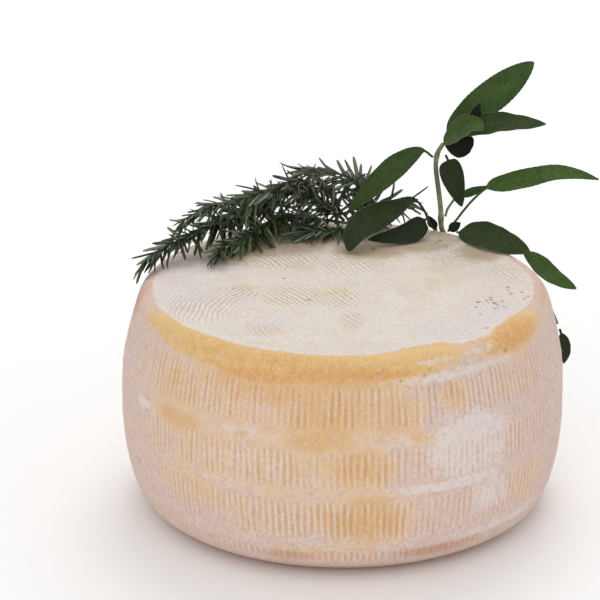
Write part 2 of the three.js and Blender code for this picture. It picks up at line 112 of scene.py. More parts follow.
# The rings of the surface. On the underside: share of its radius, and number of points. On the rounded foot
# and rim: shares of a quarter turn.
UNDERSIDE_RINGS = ((0.3, 45), (0.6, 90), (0.85, 270), (0.96, 540))
FOOT_RINGS = (0, 0.25, 0.45, 0.62, 0.78)
RIM_RINGS = (0, 0.2, 0.4, 0.58, 0.75, 0.88, 0.97)
FIRST_RIB_RINGS = (-0.5, 1.2)  # how far inside a band's end the rings there stand, at the lowest end
RIB_END_RINGS = (-1.2, 0.6, 2.4)  # and at every other
RIB_MIDDLE = 4.5  # the rings between them begin this far inside
TALL_BAND = 12  # a band over this height has four of those, and a lower one has one
DOT_RINGS = (-1.4, 0, 1.4)  # above and below the row of dots
PLAIN_RINGS = [126.5, 129.5]  # over the highest band
LEAST_RING_STEP = 0.35

# Colour patches on the wall: degrees from the front, height, half width in degrees, half height, strength.
OCHRE_ON_WALL = [
    (-22, 98, 40, 62, 0.5), (-20, 120, 24, 12, 0.8), (-4, 108, 15, 20, 0.9), (13, 108, 9, 15, 0.75),
    (-5, 92, 10, 9, 0.95), (4, 76, 10, 14, 0.9), (-11, 76, 6, 13, 0.6), (-46, 90, 9, 8, 0.85),
    (-46, 108, 14, 14, 0.65), (-24, 92, 5, 4, 0.75), (6, 42, 12, 19, 0.95), (-42, 50, 12, 11, 0.55),
    (-20, 44, 16, 15, 0.45), (-8, 20, 12, 7, 0.5), (53, 46, 8, 13, 0.5), (52, 112, 10, 9, 0.4),
    (19, 92, 6, 4, 0.7), (30, 112, 5, 8, 0.75), (100, 60, 16, 22, 0.6), (128, 104, 20, 18, 0.9),
    (158, 48, 20, 22, 0.9), (-168, 96, 18, 20, 0.8), (-136, 44, 18, 20, 0.7), (-112, 102, 16, 16, 0.6),
    (-96, 30, 12, 14, 0.5), (160, 80, 50, 95, 0.42), (0, 126, 24, 8, 0.85), (55, 131, 13, 9, 0.8),
    (176, 126, 30, 7, 0.7),
]
BLOOM_ON_WALL = [
    (34, 82, 13, 21, 0.9), (28, 59.5, 22, 3.2, 0.85), (-26, 59.5, 28, 2.4, 0.55), (41, 46, 7, 13, 0.7),
    (32, 124.5, 26, 3.5, 0.6), (-26, 93, 13, 6, 0.5), (-24, 76, 14, 11, 0.45), (15, 91, 6, 5, 0.45),
    (74, 88, 14, 50, 0.4), (-76, 98, 15, 36, 0.35), (50, 23, 22, 4, 0.75), (-8, 25, 14, 3, 0.5),
    # The broad patch at 27 mm round the front is painted light: it brightens the lower wall for the light
    # that the floor sends up.
    (-61, 87, 4, 4, 0.9), (0, 27, 78, 11, 0.42), (26, 133, 8, 1.6, 0.7),
    (41, 133.5, 8, 2.4, 0.6), (116, 78, 16, 20, 0.7), (150, 72, 20, 16, 0.6), (-150, 74, 20, 18, 0.7),
    (-120, 60, 14, 12, 0.6), (180, 24, 40, 4, 0.7), (176, 124, 40, 4, 0.6), (-104, 90, 9, 18, 0.6),
]
ROSE_ON_WALL = [
    (-14, 16.5, 9, 4, 0.8), (26, 16.5, 15, 4, 0.9), (-66, 43, 3.5, 3, 0.9), (-59, 35, 3, 2.5, 0.8),
    (-72, 56, 4, 5, 0.5), (29, 117, 4, 5, 0.6), (50, 112, 9, 9, 0.35), (-2, 40, 4, 10, 0.35),
    (12, 106, 8, 13, 0.4), (53, 52, 6, 10, 0.4), (-88, 130, 9, 9, 0.85), (-74, 122, 8, 6, 0.4),
    (88, 136, 18, 3, 0.6), (120, 16.5, 20, 4, 0.7), (-130, 16.5, 25, 4, 0.8), (140, 95, 10, 10, 0.3),
    (-166, 60, 10, 10, 0.4),
]
SPECKS_ON_WALL = [
    (8, 129.5, 5, 2, 0.7), (22, 128.5, 8, 2.2, 1.0), (17, 124, 2.5, 2, 1.0), (49, 131, 5, 3, 1.0),
    (58, 127, 5, 3, 0.6), (-60, 88, 4, 4, 0.8), (150, 128, 20, 3, 0.8), (-140, 90, 8, 6, 0.8),
]
# The golden band under the rim: degrees from the front, strength, height of its lower edge.
GOLD_KEYS = [
    (-180, 0.8, 127), (-150, 0.85, 126), (-128, 0.6, 129), (-118, 0.1, 130), (-76, 0.25, 130),
    (-67, 0.5, 131), (-60, 0.85, 131), (-50, 0.95, 128.5), (-38, 0.95, 127.5), (-28, 1.0, 125),
    (-20, 1.0, 124.5), (-8, 1.0, 126.5), (2, 1.0, 128), (12, 1.0, 128.5), (24, 0.95, 129.5),
    (31, 0.8, 131), (36, 0.45, 132), (41, 0.5, 131), (45, 0.65, 129), (52, 0.75, 129), (60, 0.75, 130),
    (68, 0.6, 131), (76, 0.2, 131), (120, 0.1, 131), (132, 0.7, 129), (155, 0.9, 126.5), (180, 0.8, 127),
]
GOLD_FADE = (-7.0, 3.5)  # the band comes up from this far below its lower edge to this far above
FOOT_DARKENING = (0.75, 6, 14)  # reddish brown on the foot, darker towards the bottom: how strong, full up to here, and gone up here
# Where the white of the face ends: degrees from the front, how far inside the rim, how ragged its end is.
FACE_EDGE_KEYS = [
    (-180, 0, 1.7), (-70, 0, 1.7), (-30, 0.5, 1.4), (8, 0, 1.4), (14, 3, 3.0), (20, 6, 3.5), (31, 7, 3.5),
    (36, -1, 6.0), (47, -2, 6.0), (52, 3, 3.5), (60, 4, 2.5), (70, 1, 2.0), (180, 0, 1.7),
]
# Patches on the face: x, y, half width, half depth, strength.
YELLOW_ON_FACE = [
    (-60, -4, 9, 8, 0.45), (-34, -26, 16, 14, 0.4), (-8, -14, 18, 14, 0.5), (52, 4, 20, 18, 0.4),
    (62, 30, 18, 18, 0.4), (-30, 34, 14, 10, 0.5), (20, 54, 24, 14, 0.5), (-70, 60, 24, 20, 0.5),
]
LILAC_ON_FACE = [
    (-98, -14, 26, 30, 0.9), (-56, -30, 9, 9, 0.7), (-40, -66, 14, 12, 0.8), (60, -74, 24, 22, 0.8),
    (92, -44, 18, 24, 0.9), (2, -98, 50, 14, 0.5), (-86, 34, 30, 14, 0.7), (62, 34, 9, 9, 0.4),
]
PINK_ON_FACE = [
    (-46, -78, 15, 11, 0.9), (5, -62, 8, 22, 0.85), (38, -8, 10, 14, 0.55), (-2, -26, 8, 14, 0.6),
    (100, 12, 14, 26, 0.5), (-104, 10, 12, 18, 0.5), (-60, -18, 8, 10, 0.5), (30, 46, 6, 8, 0.5),
    (-104, 42, 14, 16, 0.7), (-74, 46, 12, 8, 0.4),
]
# Painted shadow of the herbs on the face, where they lie on it: x, y, half width, half depth, strength.
HERB_SHADOW_ON_FACE = [
    (-34, 76, 30, 24, 0.8), (-74, 44, 22, 12, 0.7), (-52, 58, 20, 12, 0.7), (16, 62, 24, 15, 1.0),
    (44, 74, 26, 15, 0.95), (86, 62, 16, 20, 0.9), (10, 92, 30, 16, 0.9), (70, 88, 20, 14, 0.8),
    (-96, 34, 14, 10, 0.4),
]
# Where the print of the draining mat is sharp on the face: x, y, half width, half depth, strength.
MAT_PRINT = [
    (-84, -38, 26, 32, 0.85), (-62, -14, 15, 16, 1.0), (-30, -20, 24, 20, 1.0), (0, -24, 20, 26, 0.85),
    (4, -62, 14, 22, 0.55), (4, 40, 26, 28, 0.9), (24, 62, 30, 18, 1.0), (70, 56, 26, 24, 1.0),
    (94, 26, 20, 20, 0.8), (90, -30, 24, 24, 0.6), (-46, -74, 18, 16, 0.5), (-40, 50, 34, 30, 1.0),
    (-80, 60, 24, 24, 0.6), (0, 95, 50, 20, 0.6),
]
MAT_PITCH = 3.2  # distance between two reeds of the mat
MAT_DEPTH = 0.22
MAT_BACKGROUND = 0.12  # how much of the print is left elsewhere
# On the left and on the right of the face the reeds bend round a point, and between they lie straight.
MAT_LEFT = (0, -58)
MAT_RIGHT = (-150, -110)
MAT_STRAIGHT = (0.866, 0.5)
MAT_WIDER = 1.04  # the straight reeds are a little wider
MAT_LEFT_SEAM = (-54, -49)
MAT_RIGHT_SEAM = (42, 52)
HOLE_DEPTH = 0.5
# Small open holes in the rind of the face: x, y, radius.
FACE_HOLES = [
    (80.6, -27, 1.3), (88.4, -19.5, 1.0), (90.2, -28.6, 1.4), (92, -32, 1.1), (86, -24.5, 0.9),
    (99.4, -1.4, 1.2), (101.2, -12.8, 1.1), (110.8, -17.4, 1.1), (107.5, -10, 1.0), (95, -26, 0.9),
    (84, -71, 1.0), (19, 66, 1.4), (61, 81, 1.3), (108.5, -21.4, 0.9), (79, -36, 0.9), (-36, 12, 0.9),
    (-20.5, -25.5, 1.0), (88.6, -23.4, 1.0), (90.5, -38, 0.9), (96, -35.5, 0.8), (81, -48, 0.8),
    (99.5, -6.5, 0.8), (-66, -6, 0.8), (59, 77.5, 0.9),
]


def linear(code):
    """The linear colour of an sRGB hex code such as "#e2dcd2", with alpha."""
    shares = [int(code[i:i + 2], 16) / 255 for i in (1, 3, 5)]
    return tuple(s / 12.92 if s <= 0.04045 else ((s + 0.055) / 1.055) ** 2.4 for s in shares) + (1.0,)


def tint(name, description, code):
    """A colour property whose default is an sRGB hex code."""
    return bpy.props.FloatVectorProperty(
        name=name, description=description, default=linear(code), size=4, min=0, max=1, subtype="COLOR"
    )


def length(name, description, millimetres):
    """A length property, kept in metres."""
    return bpy.props.FloatProperty(
        name=name, description=description, default=millimetres * MM, min=0, unit="LENGTH", precision=4
    )


# ------------------------------------------------------------------ what a user would change


class CheeseWheelSettings(bpy.types.PropertyGroup):
    """Sizes and colours of the wheel"""

    height: length("Height", "Height of the wheel", 138)
    radius: length("Radius", "Radius at the belly, the fullest girth of the wall", 134.7)
    belly: length("Belly height", "Height of the fullest girth", 75)
    ribs: bpy.props.IntProperty(name="Ribs", description="Upright ribs round the wall", default=216, min=8)
    rib_depth: length("Rib depth", "Depth of the grooves between the ribs", 0.55)
    rind: tint("Rind", "Dry rind of the wall", "#d9c4bb")
    crest: tint("Crest", "Powdery crests of the ribs and pale specks", "#efe0d4")
    groove: tint("Groove", "Rind in the grooves, where the wash has dried", "#c4946e")
    honey: tint("Honey", "Wall of the wheel where the wash has warmed it a little", "#e2c3a3")
    ochre: tint("Ochre", "Warm patches of the washed rind", "#d8ab70")
    gold: tint("Gold", "Oiled band under the rim", "#e2bc76")
    bloom: tint("Bloom", "Whitish powder on the wall", "#e2d6d2")
    rust: tint("Rust", "Reddish brown of the foot and of single spots", "#b87a52")
    cream: tint("Cream", "Upper face", "#e1d7cc")
    # Painted shadow: the brown of the face in the shadow of the herbs.
    damp: tint("Damp", "Face of the wheel where the herbs have pressed on it", "#a88f70")
    fleck: tint("Fleck", "Small open holes and cracks", "#51463a")


class CheeseSageSettings(bpy.types.PropertyGroup):
    """Sizes and colours of the sage"""

    blade: length("Blade thickness", "Thickness of a leaf at its midrib", 0.9)
    edge: length("Edge thickness", "Thickness of a leaf at its edge", 0.35)
    stalk: length("Stalk radius", "Radius of a leaf's stalk", 0.75)
    vein_depth: length("Vein depth", "How deep the veins are pressed into a leaf", 0.16)
    leaf: tint("Leaf", "Upper side of the greenest leaf", "#48602f")
    # Painted shade: dark is the colour of a leaf turned away from the light, and shade and faded are those of
    # the leaves in shade, darkest and palest.
    dark: tint("Dark leaf", "Upper side of a leaf that has darkened", "#28301c")
    shade: tint("Shaded leaf", "Upper side of the darkest old leaf", "#171c13")
    faded: tint("Faded leaf", "Upper side of the palest old leaf", "#2d3622")
    under: tint("Underside", "Downy underside", "#66735c")
    down: tint("Down", "Pale hairs along the edge", "#8c9a80")
    # Partly painted shade: the stems' own green, darkened for the shade they stand in.
    stem: tint("Stem", "Green of the stems", "#64714c")
    flush: tint("Flush", "Dusty pink on the lit side of the stems", "#a8917c")


class CheeseRosemarySettings(bpy.types.PropertyGroup):
    """Sizes and colours of the rosemary"""

    needle: length("Needle length", "Length of a full-grown needle", 17.5)
    width: length("Needle width", "Width of a needle", 2.2)
    spacing: length("Spacing", "Distance along the stem from one needle to the next", 0.42)
    stem_radius: length("Stem radius", "Radius of a stem at its root", 1.05)
    spread: bpy.props.FloatProperty(
        name="Spread", description="Angle between a needle and its stem", default=math.radians(46),
        subtype="ANGLE",
    )
    seed: bpy.props.IntProperty(name="Seed", description="Start of the random draws", default=6)
    green: tint("Needle", "Upper side of a needle", "#1f2615")
    fresh: tint("Fresh needle", "Upper side of the youngest needles", "#4a642d")
    # Partly painted highlight: the pale felt is brighter than the felt alone, so that it also stands in for
    # the glints along the needles.
    pale: tint("Underside", "Pale felt under a needle", "#989f8d")
    bark: tint("Bark", "Brown bark of the old wood", "#75684e")


class CheeseStageSettings(bpy.types.PropertyGroup):
    """Floor, light and camera"""

    floor: tint("Floor", "Plain white floor", "#fdfdfd")
    key: bpy.props.FloatProperty(
        name="Key", description="Power of the soft light above", default=11.5, unit="POWER"
    )
    fill: bpy.props.FloatProperty(
        name="Fill", description="Power of the soft front light", default=11.5, unit="POWER"
    )
    sky: bpy.props.FloatProperty(
        name="Sky", description="Strength of the white surroundings", default=0.745, min=0
    )
    lens: bpy.props.FloatProperty(name="Lens", description="Focal length", default=182.1, unit="CAMERA")


# ------------------------------------------------------------------ small helpers


MATH = "ShaderNodeMath"
VECTOR_MATH = "ShaderNodeVectorMath"
MAP_RANGE = "ShaderNodeMapRange"
NOISE = "ShaderNodeTexNoise"


def add_node(tree, kind, inputs=(), output=0, **settings):
    """Adds a node, sets its properties, and sets or links its inputs by name or number. Gives back one of
    its outputs, by name or number."""
    node = tree.nodes.new(kind)
    for key, value in settings.items():
        setattr(node, key, value)
    for key, value in dict(inputs).items():
        if isinstance(value, bpy.types.NodeSocket):
            tree.links.new(value, node.inputs[key])
        else:
            node.inputs[key].default_value = value
    return node.outputs[output] if node.outputs else None


def new_finish(name):
    """A material with nothing in it yet, and its node tree."""
    material = bpy.data.materials.new(name)
    material.use_nodes = True
    material.node_tree.nodes.clear()
    return material, material.node_tree


def layered(tree, colour, layers):
    """A colour with others laid over it. Each layer: what drives it, the range that turns it on, how much it
    covers, and its colour."""
    for value, low, high, top, over in layers:
        driven = {"Value": value, "From Min": low, "From Max": high, "To Max": top}
        mixed = {0: add_node(tree, MAP_RANGE, driven), 6: colour, 7: over}
        colour = add_node(tree, "ShaderNodeMix", mixed, output=2, data_type="RGBA")
    return colour


def smoothstep(low, high, value):
    """0 below low, 1 above high, and a smooth rise between."""
    share = np.clip((value - low) / (high - low), 0, 1)
    return share * share * (3 - 2 * share)


def make_piece(name, points, faces, material, attributes=(), uvs=None):
    """A mesh object from points in millimetres, with smooth faces, float attributes and a material."""
    mesh = bpy.data.meshes.new(name)
    mesh.from_pydata((np.asarray(points) * MM).tolist(), [], faces)
    mesh.shade_smooth()
    for key, values in dict(attributes).items():
        layer = mesh.attributes.new(key, "FLOAT", "POINT")
        layer.data.foreach_set("value", np.asarray(values, np.float32))
    if uvs is not None:
        corner = np.zeros(len(mesh.loops), np.int32)
        mesh.loops.foreach_get("vertex_index", corner)
        layer = mesh.uv_layers.new(name="UVMap")
        layer.data.foreach_set("uv", np.asarray(uvs, np.float32)[corner].ravel())
    mesh.materials.append(material)
    piece = bpy.data.objects.new(name, mesh)
    bpy.context.scene.collection.objects.link(piece)
    return piece


def settle(piece, slot, *nodes):
    """Hangs a finished piece on the root body and hides the imported parts that it stands for. The slot is
    not used.
    """
    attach(piece, "root")
    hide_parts(*nodes)


def smooth_path(points, count):
    """Evenly spaced points on the centripetal Catmull-Rom curve through the given points, and tangents."""
    given = np.asarray(points, float)
    knots = np.vstack([2 * given[0] - given[1], given, 2 * given[-1] - given[-2]])
    fine = []
    per_span = 24
    for k in range(len(given) - 1):
        p0, p1, p2, p3 = knots[k:k + 4]
        d0, d1, d2 = (max(np.linalg.norm(b - a), 1e-6) ** 0.5 for a, b in ((p0, p1), (p1, p2), (p2, p3)))
        m1 = (p1 - p0) / d0 - (p2 - p0) / (d0 + d1) + (p2 - p1) / d1
        m2 = (p2 - p1) / d1 - (p3 - p1) / (d1 + d2) + (p3 - p2) / d2
        m1, m2 = m1 * d1, m2 * d1
        for t in np.arange(per_span) / per_span:
            fine.append(
                (2 * t**3 - 3 * t**2 + 1) * p1 + (t**3 - 2 * t**2 + t) * m1
                + (3 * t**2 - 2 * t**3) * p2 + (t**3 - t**2) * m2
            )
    fine = np.array(fine + [given[-1]])
    run = np.concatenate([[0], np.cumsum(np.linalg.norm(np.diff(fine, axis=0), axis=1))])
    even = np.linspace(0, run[-1], count)
    path = np.stack([np.interp(even, run, fine[:, k]) for k in range(3)], -1)
    along = np.gradient(path, axis=0)
    return path, along / np.linalg.norm(along, axis=1, keepdims=True)


def unit(vectors):
    """The same vectors at length one."""
    return vectors / np.maximum(np.linalg.norm(vectors, axis=-1, keepdims=True), 1e-9)


def zip_rings(lower, upper):
    """Triangles between two closed rings of point numbers that both start at the same angle and turn left.
    A ring may be a single point."""
    faces = []
    i = j = 0
    last_i = len(lower) if len(lower) > 1 else 0
    last_j = len(upper) if len(upper) > 1 else 0
    while i < last_i or j < last_j:
        a = lower[i % len(lower)]
        b = upper[j % len(upper)]
        if j >= last_j or (i < last_i and (i + 1) * len(upper) <= (j + 1) * len(lower)):
            i += 1
            faces.append((a, lower[i % len(lower)], b))
        else:
            j += 1
            faces.append((a, upper[j % len(upper)], b))
    return faces


# ------------------------------------------------------------------ the wheel's form


def quarter_ellipse(reach, share):
    """How far a rounded edge has drawn in at a share of its rise."""
    return reach * (1 - np.sqrt(1 - share * share))


def wall_radius(wheel, z):
    """Radius of the smooth wall at a height."""
    belly = wheel.belly / MM
    away = np.abs(z - belly) / WALL["gauge"]
    drawn_in = np.where(z < belly, WALL["drawn_in_below"] * away**3, WALL["drawn_in_above"] * away**2)
    in_foot = np.clip((WALL["foot_rise"] - z) / WALL["foot_rise"], 0, 1)
    in_rim = np.clip((z - wheel.height / MM + WALL["rim_rise"]) / WALL["rim_rise"], 0, 1)
    edges = quarter_ellipse(WALL["foot_reach"], in_foot) + quarter_ellipse(WALL["rim_reach"], in_rim)
    return wheel.radius / MM - drawn_in - edges


def degrees_from_front(angle):
    """Turns an angle round the wheel's axis into degrees from its front, from -180 to 180."""
    return (np.degrees(angle) + 270) % 360 - 180


def wander(angle, z):
    """How far the wall leans in or out there, as on a wheel turned by hand."""
    slow = np.sin(3 * angle + 0.6) + 0.6 * np.sin(5 * angle - z / 30)
    return FACE_RIPPLE * (slow + 0.4 * np.sin(9 * angle + z / 17))


def patches(table, across, up, around=None):
    """How strongly the patches of a table cover each point. Around is the length of a whole turn."""
    cover = np.zeros_like(across)
    for centre, height, half_width, half_height, strength in table:
        aside = across - centre
        if around:
            aside = (aside + around / 2) % around - around / 2
        distance = (aside / half_width) ** 2 + ((up - height) / half_height) ** 2
        cover = np.maximum(cover, strength * np.exp(-0.7 * distance**1.5))
    return cover


def rib_relief(wheel, angle, z):
    """How deep the grooves between the ribs are, and how high the ribs between them, both from 0 to 1.
    No two grooves are pressed alike, and each gets shallower and deeper along its height."""
    lean = sum(share * np.sin(z / high + turns * angle) for share, high, turns in RIB_LEANS)
    phase = wheel.ribs * angle / TURN + lean
    draw = np.random.default_rng(RIB_SEED).uniform(*RIB_DRAW, (wheel.ribs, RIB_KNOTS))
    column = np.floor(phase).astype(int) % wheel.ribs
    knot = np.clip(z * MM / wheel.height, 0, 0.999) * (RIB_KNOTS - 1)
    whole = knot.astype(int)
    share = knot - whole
    pressed = draw[column, whole] * (1 - share) + draw[column, whole + 1] * share
    groove = 0.5 - 0.5 * np.cos(TURN * phase)
    band = np.zeros_like(z)
    waver = sum(far * np.sin(waves * angle + start) for far, waves, start in BAND_WAVER)
    for low, high in RIB_BANDS:
        run_out = BAND_RUN_OUT[0] * (high - low) + BAND_RUN_OUT[1]
        above = smoothstep(low - BAND_OVERRUN, low + run_out, z - waver)
        below = 1 - smoothstep(high - run_out, high + BAND_OVERRUN, z - waver)
        band = np.maximum(band, above * below)
    # Between the two middle seams, the ribs show as a row of dots on one side only.
    from_front = degrees_from_front(angle)
    beside = smoothstep(*DOT_FROM, from_front) * (1 - smoothstep(*DOT_TO, from_front))
    band = np.maximum(band, beside * np.exp(-(((z - DOT_HEIGHT - waver) / DOT_HALF_HEIGHT) ** 2)))
    depth = np.clip(pressed, 0, 1) * band
    return groove**GROOVE_POWER * depth, (1 - groove) ** CREST_POWER * depth


def mat_reeds(x, y):
    """The mat's print on the face: which reed lies over each point, counted in whole turns from one furrow
    to the next, and how sharp its print is."""
    stray = 0.9 * np.sin(x / 9 + 2 * np.sin(y / 14)) * np.sin(y / 11 + 1) + 0.5 * np.sin(x / 4.1 + y / 5.3)
    left_of = smoothstep(*MAT_LEFT_SEAM, x + 0.12 * y + 1.5 * np.sin(y / 6))
    right_of = smoothstep(*MAT_RIGHT_SEAM, x + 0.1 * y + 3 * np.sin(y / 9))
    left, right = (
        (np.hypot(x - point[0], y - point[1]) + stray) / MAT_PITCH for point in (MAT_LEFT, MAT_RIGHT)
    )
    middle = (MAT_STRAIGHT[0] * x + MAT_STRAIGHT[1] * y + stray) / (MAT_WIDER * MAT_PITCH)
    reeds = np.where(left_of < 0.5, left, np.where(right_of < 0.5, middle, right))
    seams = 4 * np.abs((left_of - 0.5) * (right_of - 0.5))
    sharp = np.maximum(patches(MAT_PRINT, x, y), MAT_BACKGROUND) * smoothstep(0, 0.5, seams)
    return reeds, sharp


def build_wheel_mesh(wheel):
    """Points, faces and colour masks of the whole wheel, as one closed surface."""
    height = wheel.height / MM
    columns = wheel.ribs * COLUMNS_PER_RIB
    points = []
    faces = []
    masks = {"relief": [], "crest": []}

    def add_ring(count, radius_at, height_at, relief_at=None):
        angle = np.arange(count) / count * TURN
        radius = radius_at(angle)
        z = height_at(angle, radius)
        start = len(points)
        points.extend(np.stack([radius * np.cos(angle), radius * np.sin(angle), z], -1).tolist())
        relief, crest = relief_at(angle, z) if relief_at else (np.zeros(count), np.zeros(count))
        masks["relief"].extend(relief.tolist())
        masks["crest"].extend(crest.tolist())
        return list(range(start, start + count))

    def zipped(rings):
        for lower, upper in zip(rings, rings[1:]):
            faces.extend(zip_rings(lower, upper))

    # The underside and the wall.
    floor_radius = float(wall_radius(wheel, 0.0))
    under = [add_ring(1, lambda a: 0 * a, lambda a, r: 0 * a)]
    for share, count in UNDERSIDE_RINGS:
        under.append(add_ring(count, lambda a, s=share: 0 * a + s * floor_radius, lambda a, r: 0 * a))
    foot = [WALL["foot_rise"] * (1 - math.cos(share * TURN / 4)) for share in FOOT_RINGS]
    rim = [height - WALL["rim_rise"] * (1 - math.sin(share * TURN / 4)) for share in RIM_RINGS]
    stations = foot[:]
    for k, (low, high) in enumerate(RIB_BANDS):
        stations += [low + step for step in (RIB_END_RINGS if k else FIRST_RIB_RINGS)]
        stations += list(np.linspace(low + RIB_MIDDLE, high - RIB_MIDDLE, 4 if high - low > TALL_BAND else 1))
        stations += [high - step for step in RIB_END_RINGS]
    stations += [DOT_HEIGHT + step for step in DOT_RINGS] + PLAIN_RINGS + rim
    stations = sorted(set(round(z, 2) for z in stations))
    kept = [stations[0]]
    for z in stations[1:]:
        if z - kept[-1] > LEAST_RING_STEP:
            kept.append(z)

    def wall_ring(z):
        """One ring of the wall, drawn in at its grooves and swelling a little at its seams."""
        on_wall = smoothstep(9, 14, z) * (1 - smoothstep(123, 127, z))

        def relief(angle, heights):
            groove, crest = rib_relief(wheel, angle, heights)
            sharp = rib_sharpness(angle, heights)
            return groove * sharp, crest * sharp

        def radius(angle):
            heights = np.full_like(angle, z)
            swell = sum(
                np.exp(-(((z - seam - seam_wave(angle, seam)) / SEAM_WIDTH) ** 2)) for seam in SEAM_HEIGHTS
            )
            between_seams = on_wall * SEAM_SWELL * (1 - np.clip(swell, 0, 1))
            low = wheel.rib_depth / MM * relief(angle, heights)[0] + between_seams
            return wall_radius(wheel, heights) + wander(angle, z) - low

        return add_ring(columns, radius, lambda angle, r: np.full_like(angle, z), relief)

    wall = [wall_ring(z) for z in kept]
    zipped(under + wall)

    # The face, in rings whose points stand about one step apart.
    edge = float(wall_radius(wheel, height))
    ring_count = round(edge / FACE_STEP) - 1
    face_rings = [wall[-1]]
    for k in range(1, ring_count + 1):
        radius = edge * (1 - k / (ring_count + 1))
        count = max(6, round(TURN * radius / FACE_STEP))

        def face_height(angle, r):
            x, y = r * np.cos(angle), r * np.sin(angle)
            reeds, sharp = mat_reeds(x, y)
            flat = height + FACE_RIPPLE * np.sin(x / 21 + 1) * np.cos(y / 27)
            fade = smoothstep(0, 5, edge - r)
            holes = sum(np.exp(-(((x - hx) ** 2 + (y - hy) ** 2) / size**2)) for hx, hy, size in FACE_HOLES)
            print_ = MAT_DEPTH / 2 * np.cos(TURN * reeds) * sharp
            return flat * fade + height * (1 - fade) + fade * (print_ - HOLE_DEPTH * holes)

        face_rings.append(add_ring(count, lambda a, r=radius: 0 * a + r, face_height))
    face_rings.append(add_ring(1, lambda a: 0 * a, lambda a, r: 0 * a + height))
    zipped(face_rings)
    return np.array(points), faces, {key: np.array(values) for key, values in masks.items()}


def seam_wave(angle, seam):
    """How far a seam wanders up and down."""
    return 0.7 * np.sin(2 * angle + seam) + 0.4 * np.sin(7 * angle - seam)


def rib_sharpness(angle, z):
    """Ribs are sharp in some places and nearly rubbed away in others."""
    worn = 0.5 + 0.3 * np.sin(4 * angle + z / 20) + 0.2 * np.sin(11 * angle - z / 9)
    centre, half_width, rubbed = HANDLED
    handled = np.exp(-(((np.abs(degrees_from_front(angle)) - centre) / half_width) ** 2))
    return (0.6 + 0.4 * worn) * (1 - rubbed * handled)


def wheel_masks(wheel, points, masks):
    """Where each finish of the rind lies, from 0 to 1 at every point."""
    x, y, z = points.T
    reach = np.hypot(x, y)
    from_front = np.degrees(np.arctan2(x, -y))
    height = wheel.height / MM
    # The face runs over the first turn of the rim, to an uneven line.
    edge = float(wall_radius(wheel, height))
    edge_angles, set_in, ragged = np.array(FACE_EDGE_KEYS, float).T
    set_in = np.interp(from_front, edge_angles, set_in)
    ragged = np.interp(from_front, edge_angles, ragged)
    uneven = 0.6 * np.sin(np.radians(7 * from_front)) + 0.5 * np.sin(np.radians(17 * from_front + 40))
    fell = reach - edge + 1.6 * (height - z)
    on_face = 1 - smoothstep(-ragged, ragged, fell + uneven + set_in - 0.5)
    on_face = np.where(z < 0.9 * height, 0.0, on_face)

    def on_both(wall_table, face_table):
        """The patches of one table on the wall, and of another on the face."""
        return np.where(on_face > 0.5, patches(face_table, x, y), patches(wall_table, from_front, z, 360.0))

    angles, strengths, lows = np.array(GOLD_KEYS, float).T
    over_edge = z - np.interp(from_front, angles, lows)
    # The foot is reddish brown, darker towards the bottom.
    foot_darkening, foot_low, foot_high = FOOT_DARKENING
    rose = np.maximum(
        patches(ROSE_ON_WALL, from_front, z, 360.0), foot_darkening * (1 - smoothstep(foot_low, foot_high, z))
    )
    holes = sum(
        np.exp(-(((x - hx) ** 2 + (y - hy) ** 2) / (0.8 * size) ** 2)) for hx, hy, size in FACE_HOLES
    )
    reeds, print_ = mat_reeds(x, y)
    return {
        "relief": masks["relief"],
        "crest": masks["crest"],
        "face": on_face,
        "gold": np.interp(from_front, angles, strengths) * smoothstep(*GOLD_FADE, over_edge),
        "ochre": on_both(OCHRE_ON_WALL, YELLOW_ON_FACE),
        "bloom": on_both(BLOOM_ON_WALL, LILAC_ON_FACE),
        "rose": np.where(on_face > 0.5, patches(PINK_ON_FACE, x, y), rose),
        "hole": np.where(on_face > 0.5, np.clip(1.6 * holes, 0, 1), 0),
        "specks": patches(SPECKS_ON_WALL, from_front, z, 360.0),
        # Painted shadow of the herbs on the face.
        "damp": np.where(z > 0.9 * height, patches(HERB_SHADOW_ON_FACE, x, y), 0),
        "reeds": reeds,
        "print": np.where(on_face > 0.5, print_, 0),
    }


# ------------------------------------------------------------------ the wheel's finish


RIND_MASKS = (
    "relief", "crest", "face", "gold", "ochre", "bloom", "rose", "hole", "specks", "damp", "reeds", "print",
)
# The noises of the rind, from clouds of wash to the powder's own grain: size of a grain in millimetres,
# detail and roughness.
RIND_NOISES = (
    ("clouds", 13, 5.0, 0.62), ("blots", 5.5, 4.0, 0.6), ("mottle", 2.6, 4.0, 0.62), ("grit", 1.5, 2.0, 0.5),
    ("powder", 0.9, 3.0, 0.6), ("tints", 5, 4.0, 0.6), ("streaks", 1.5, 3.0, 0.6),
)
STREAK_LENGTHS = (1, 1, 0.3)  # streaks run up and down the wall
FLECK_SPACING = 4.5
# How rare each kind of fleck is, and how wide its widest, as a share of the spacing.
FLECK_KINDS = (("dark dots", 0.25, 0.38), ("pale dots", 0.72, 0.13))
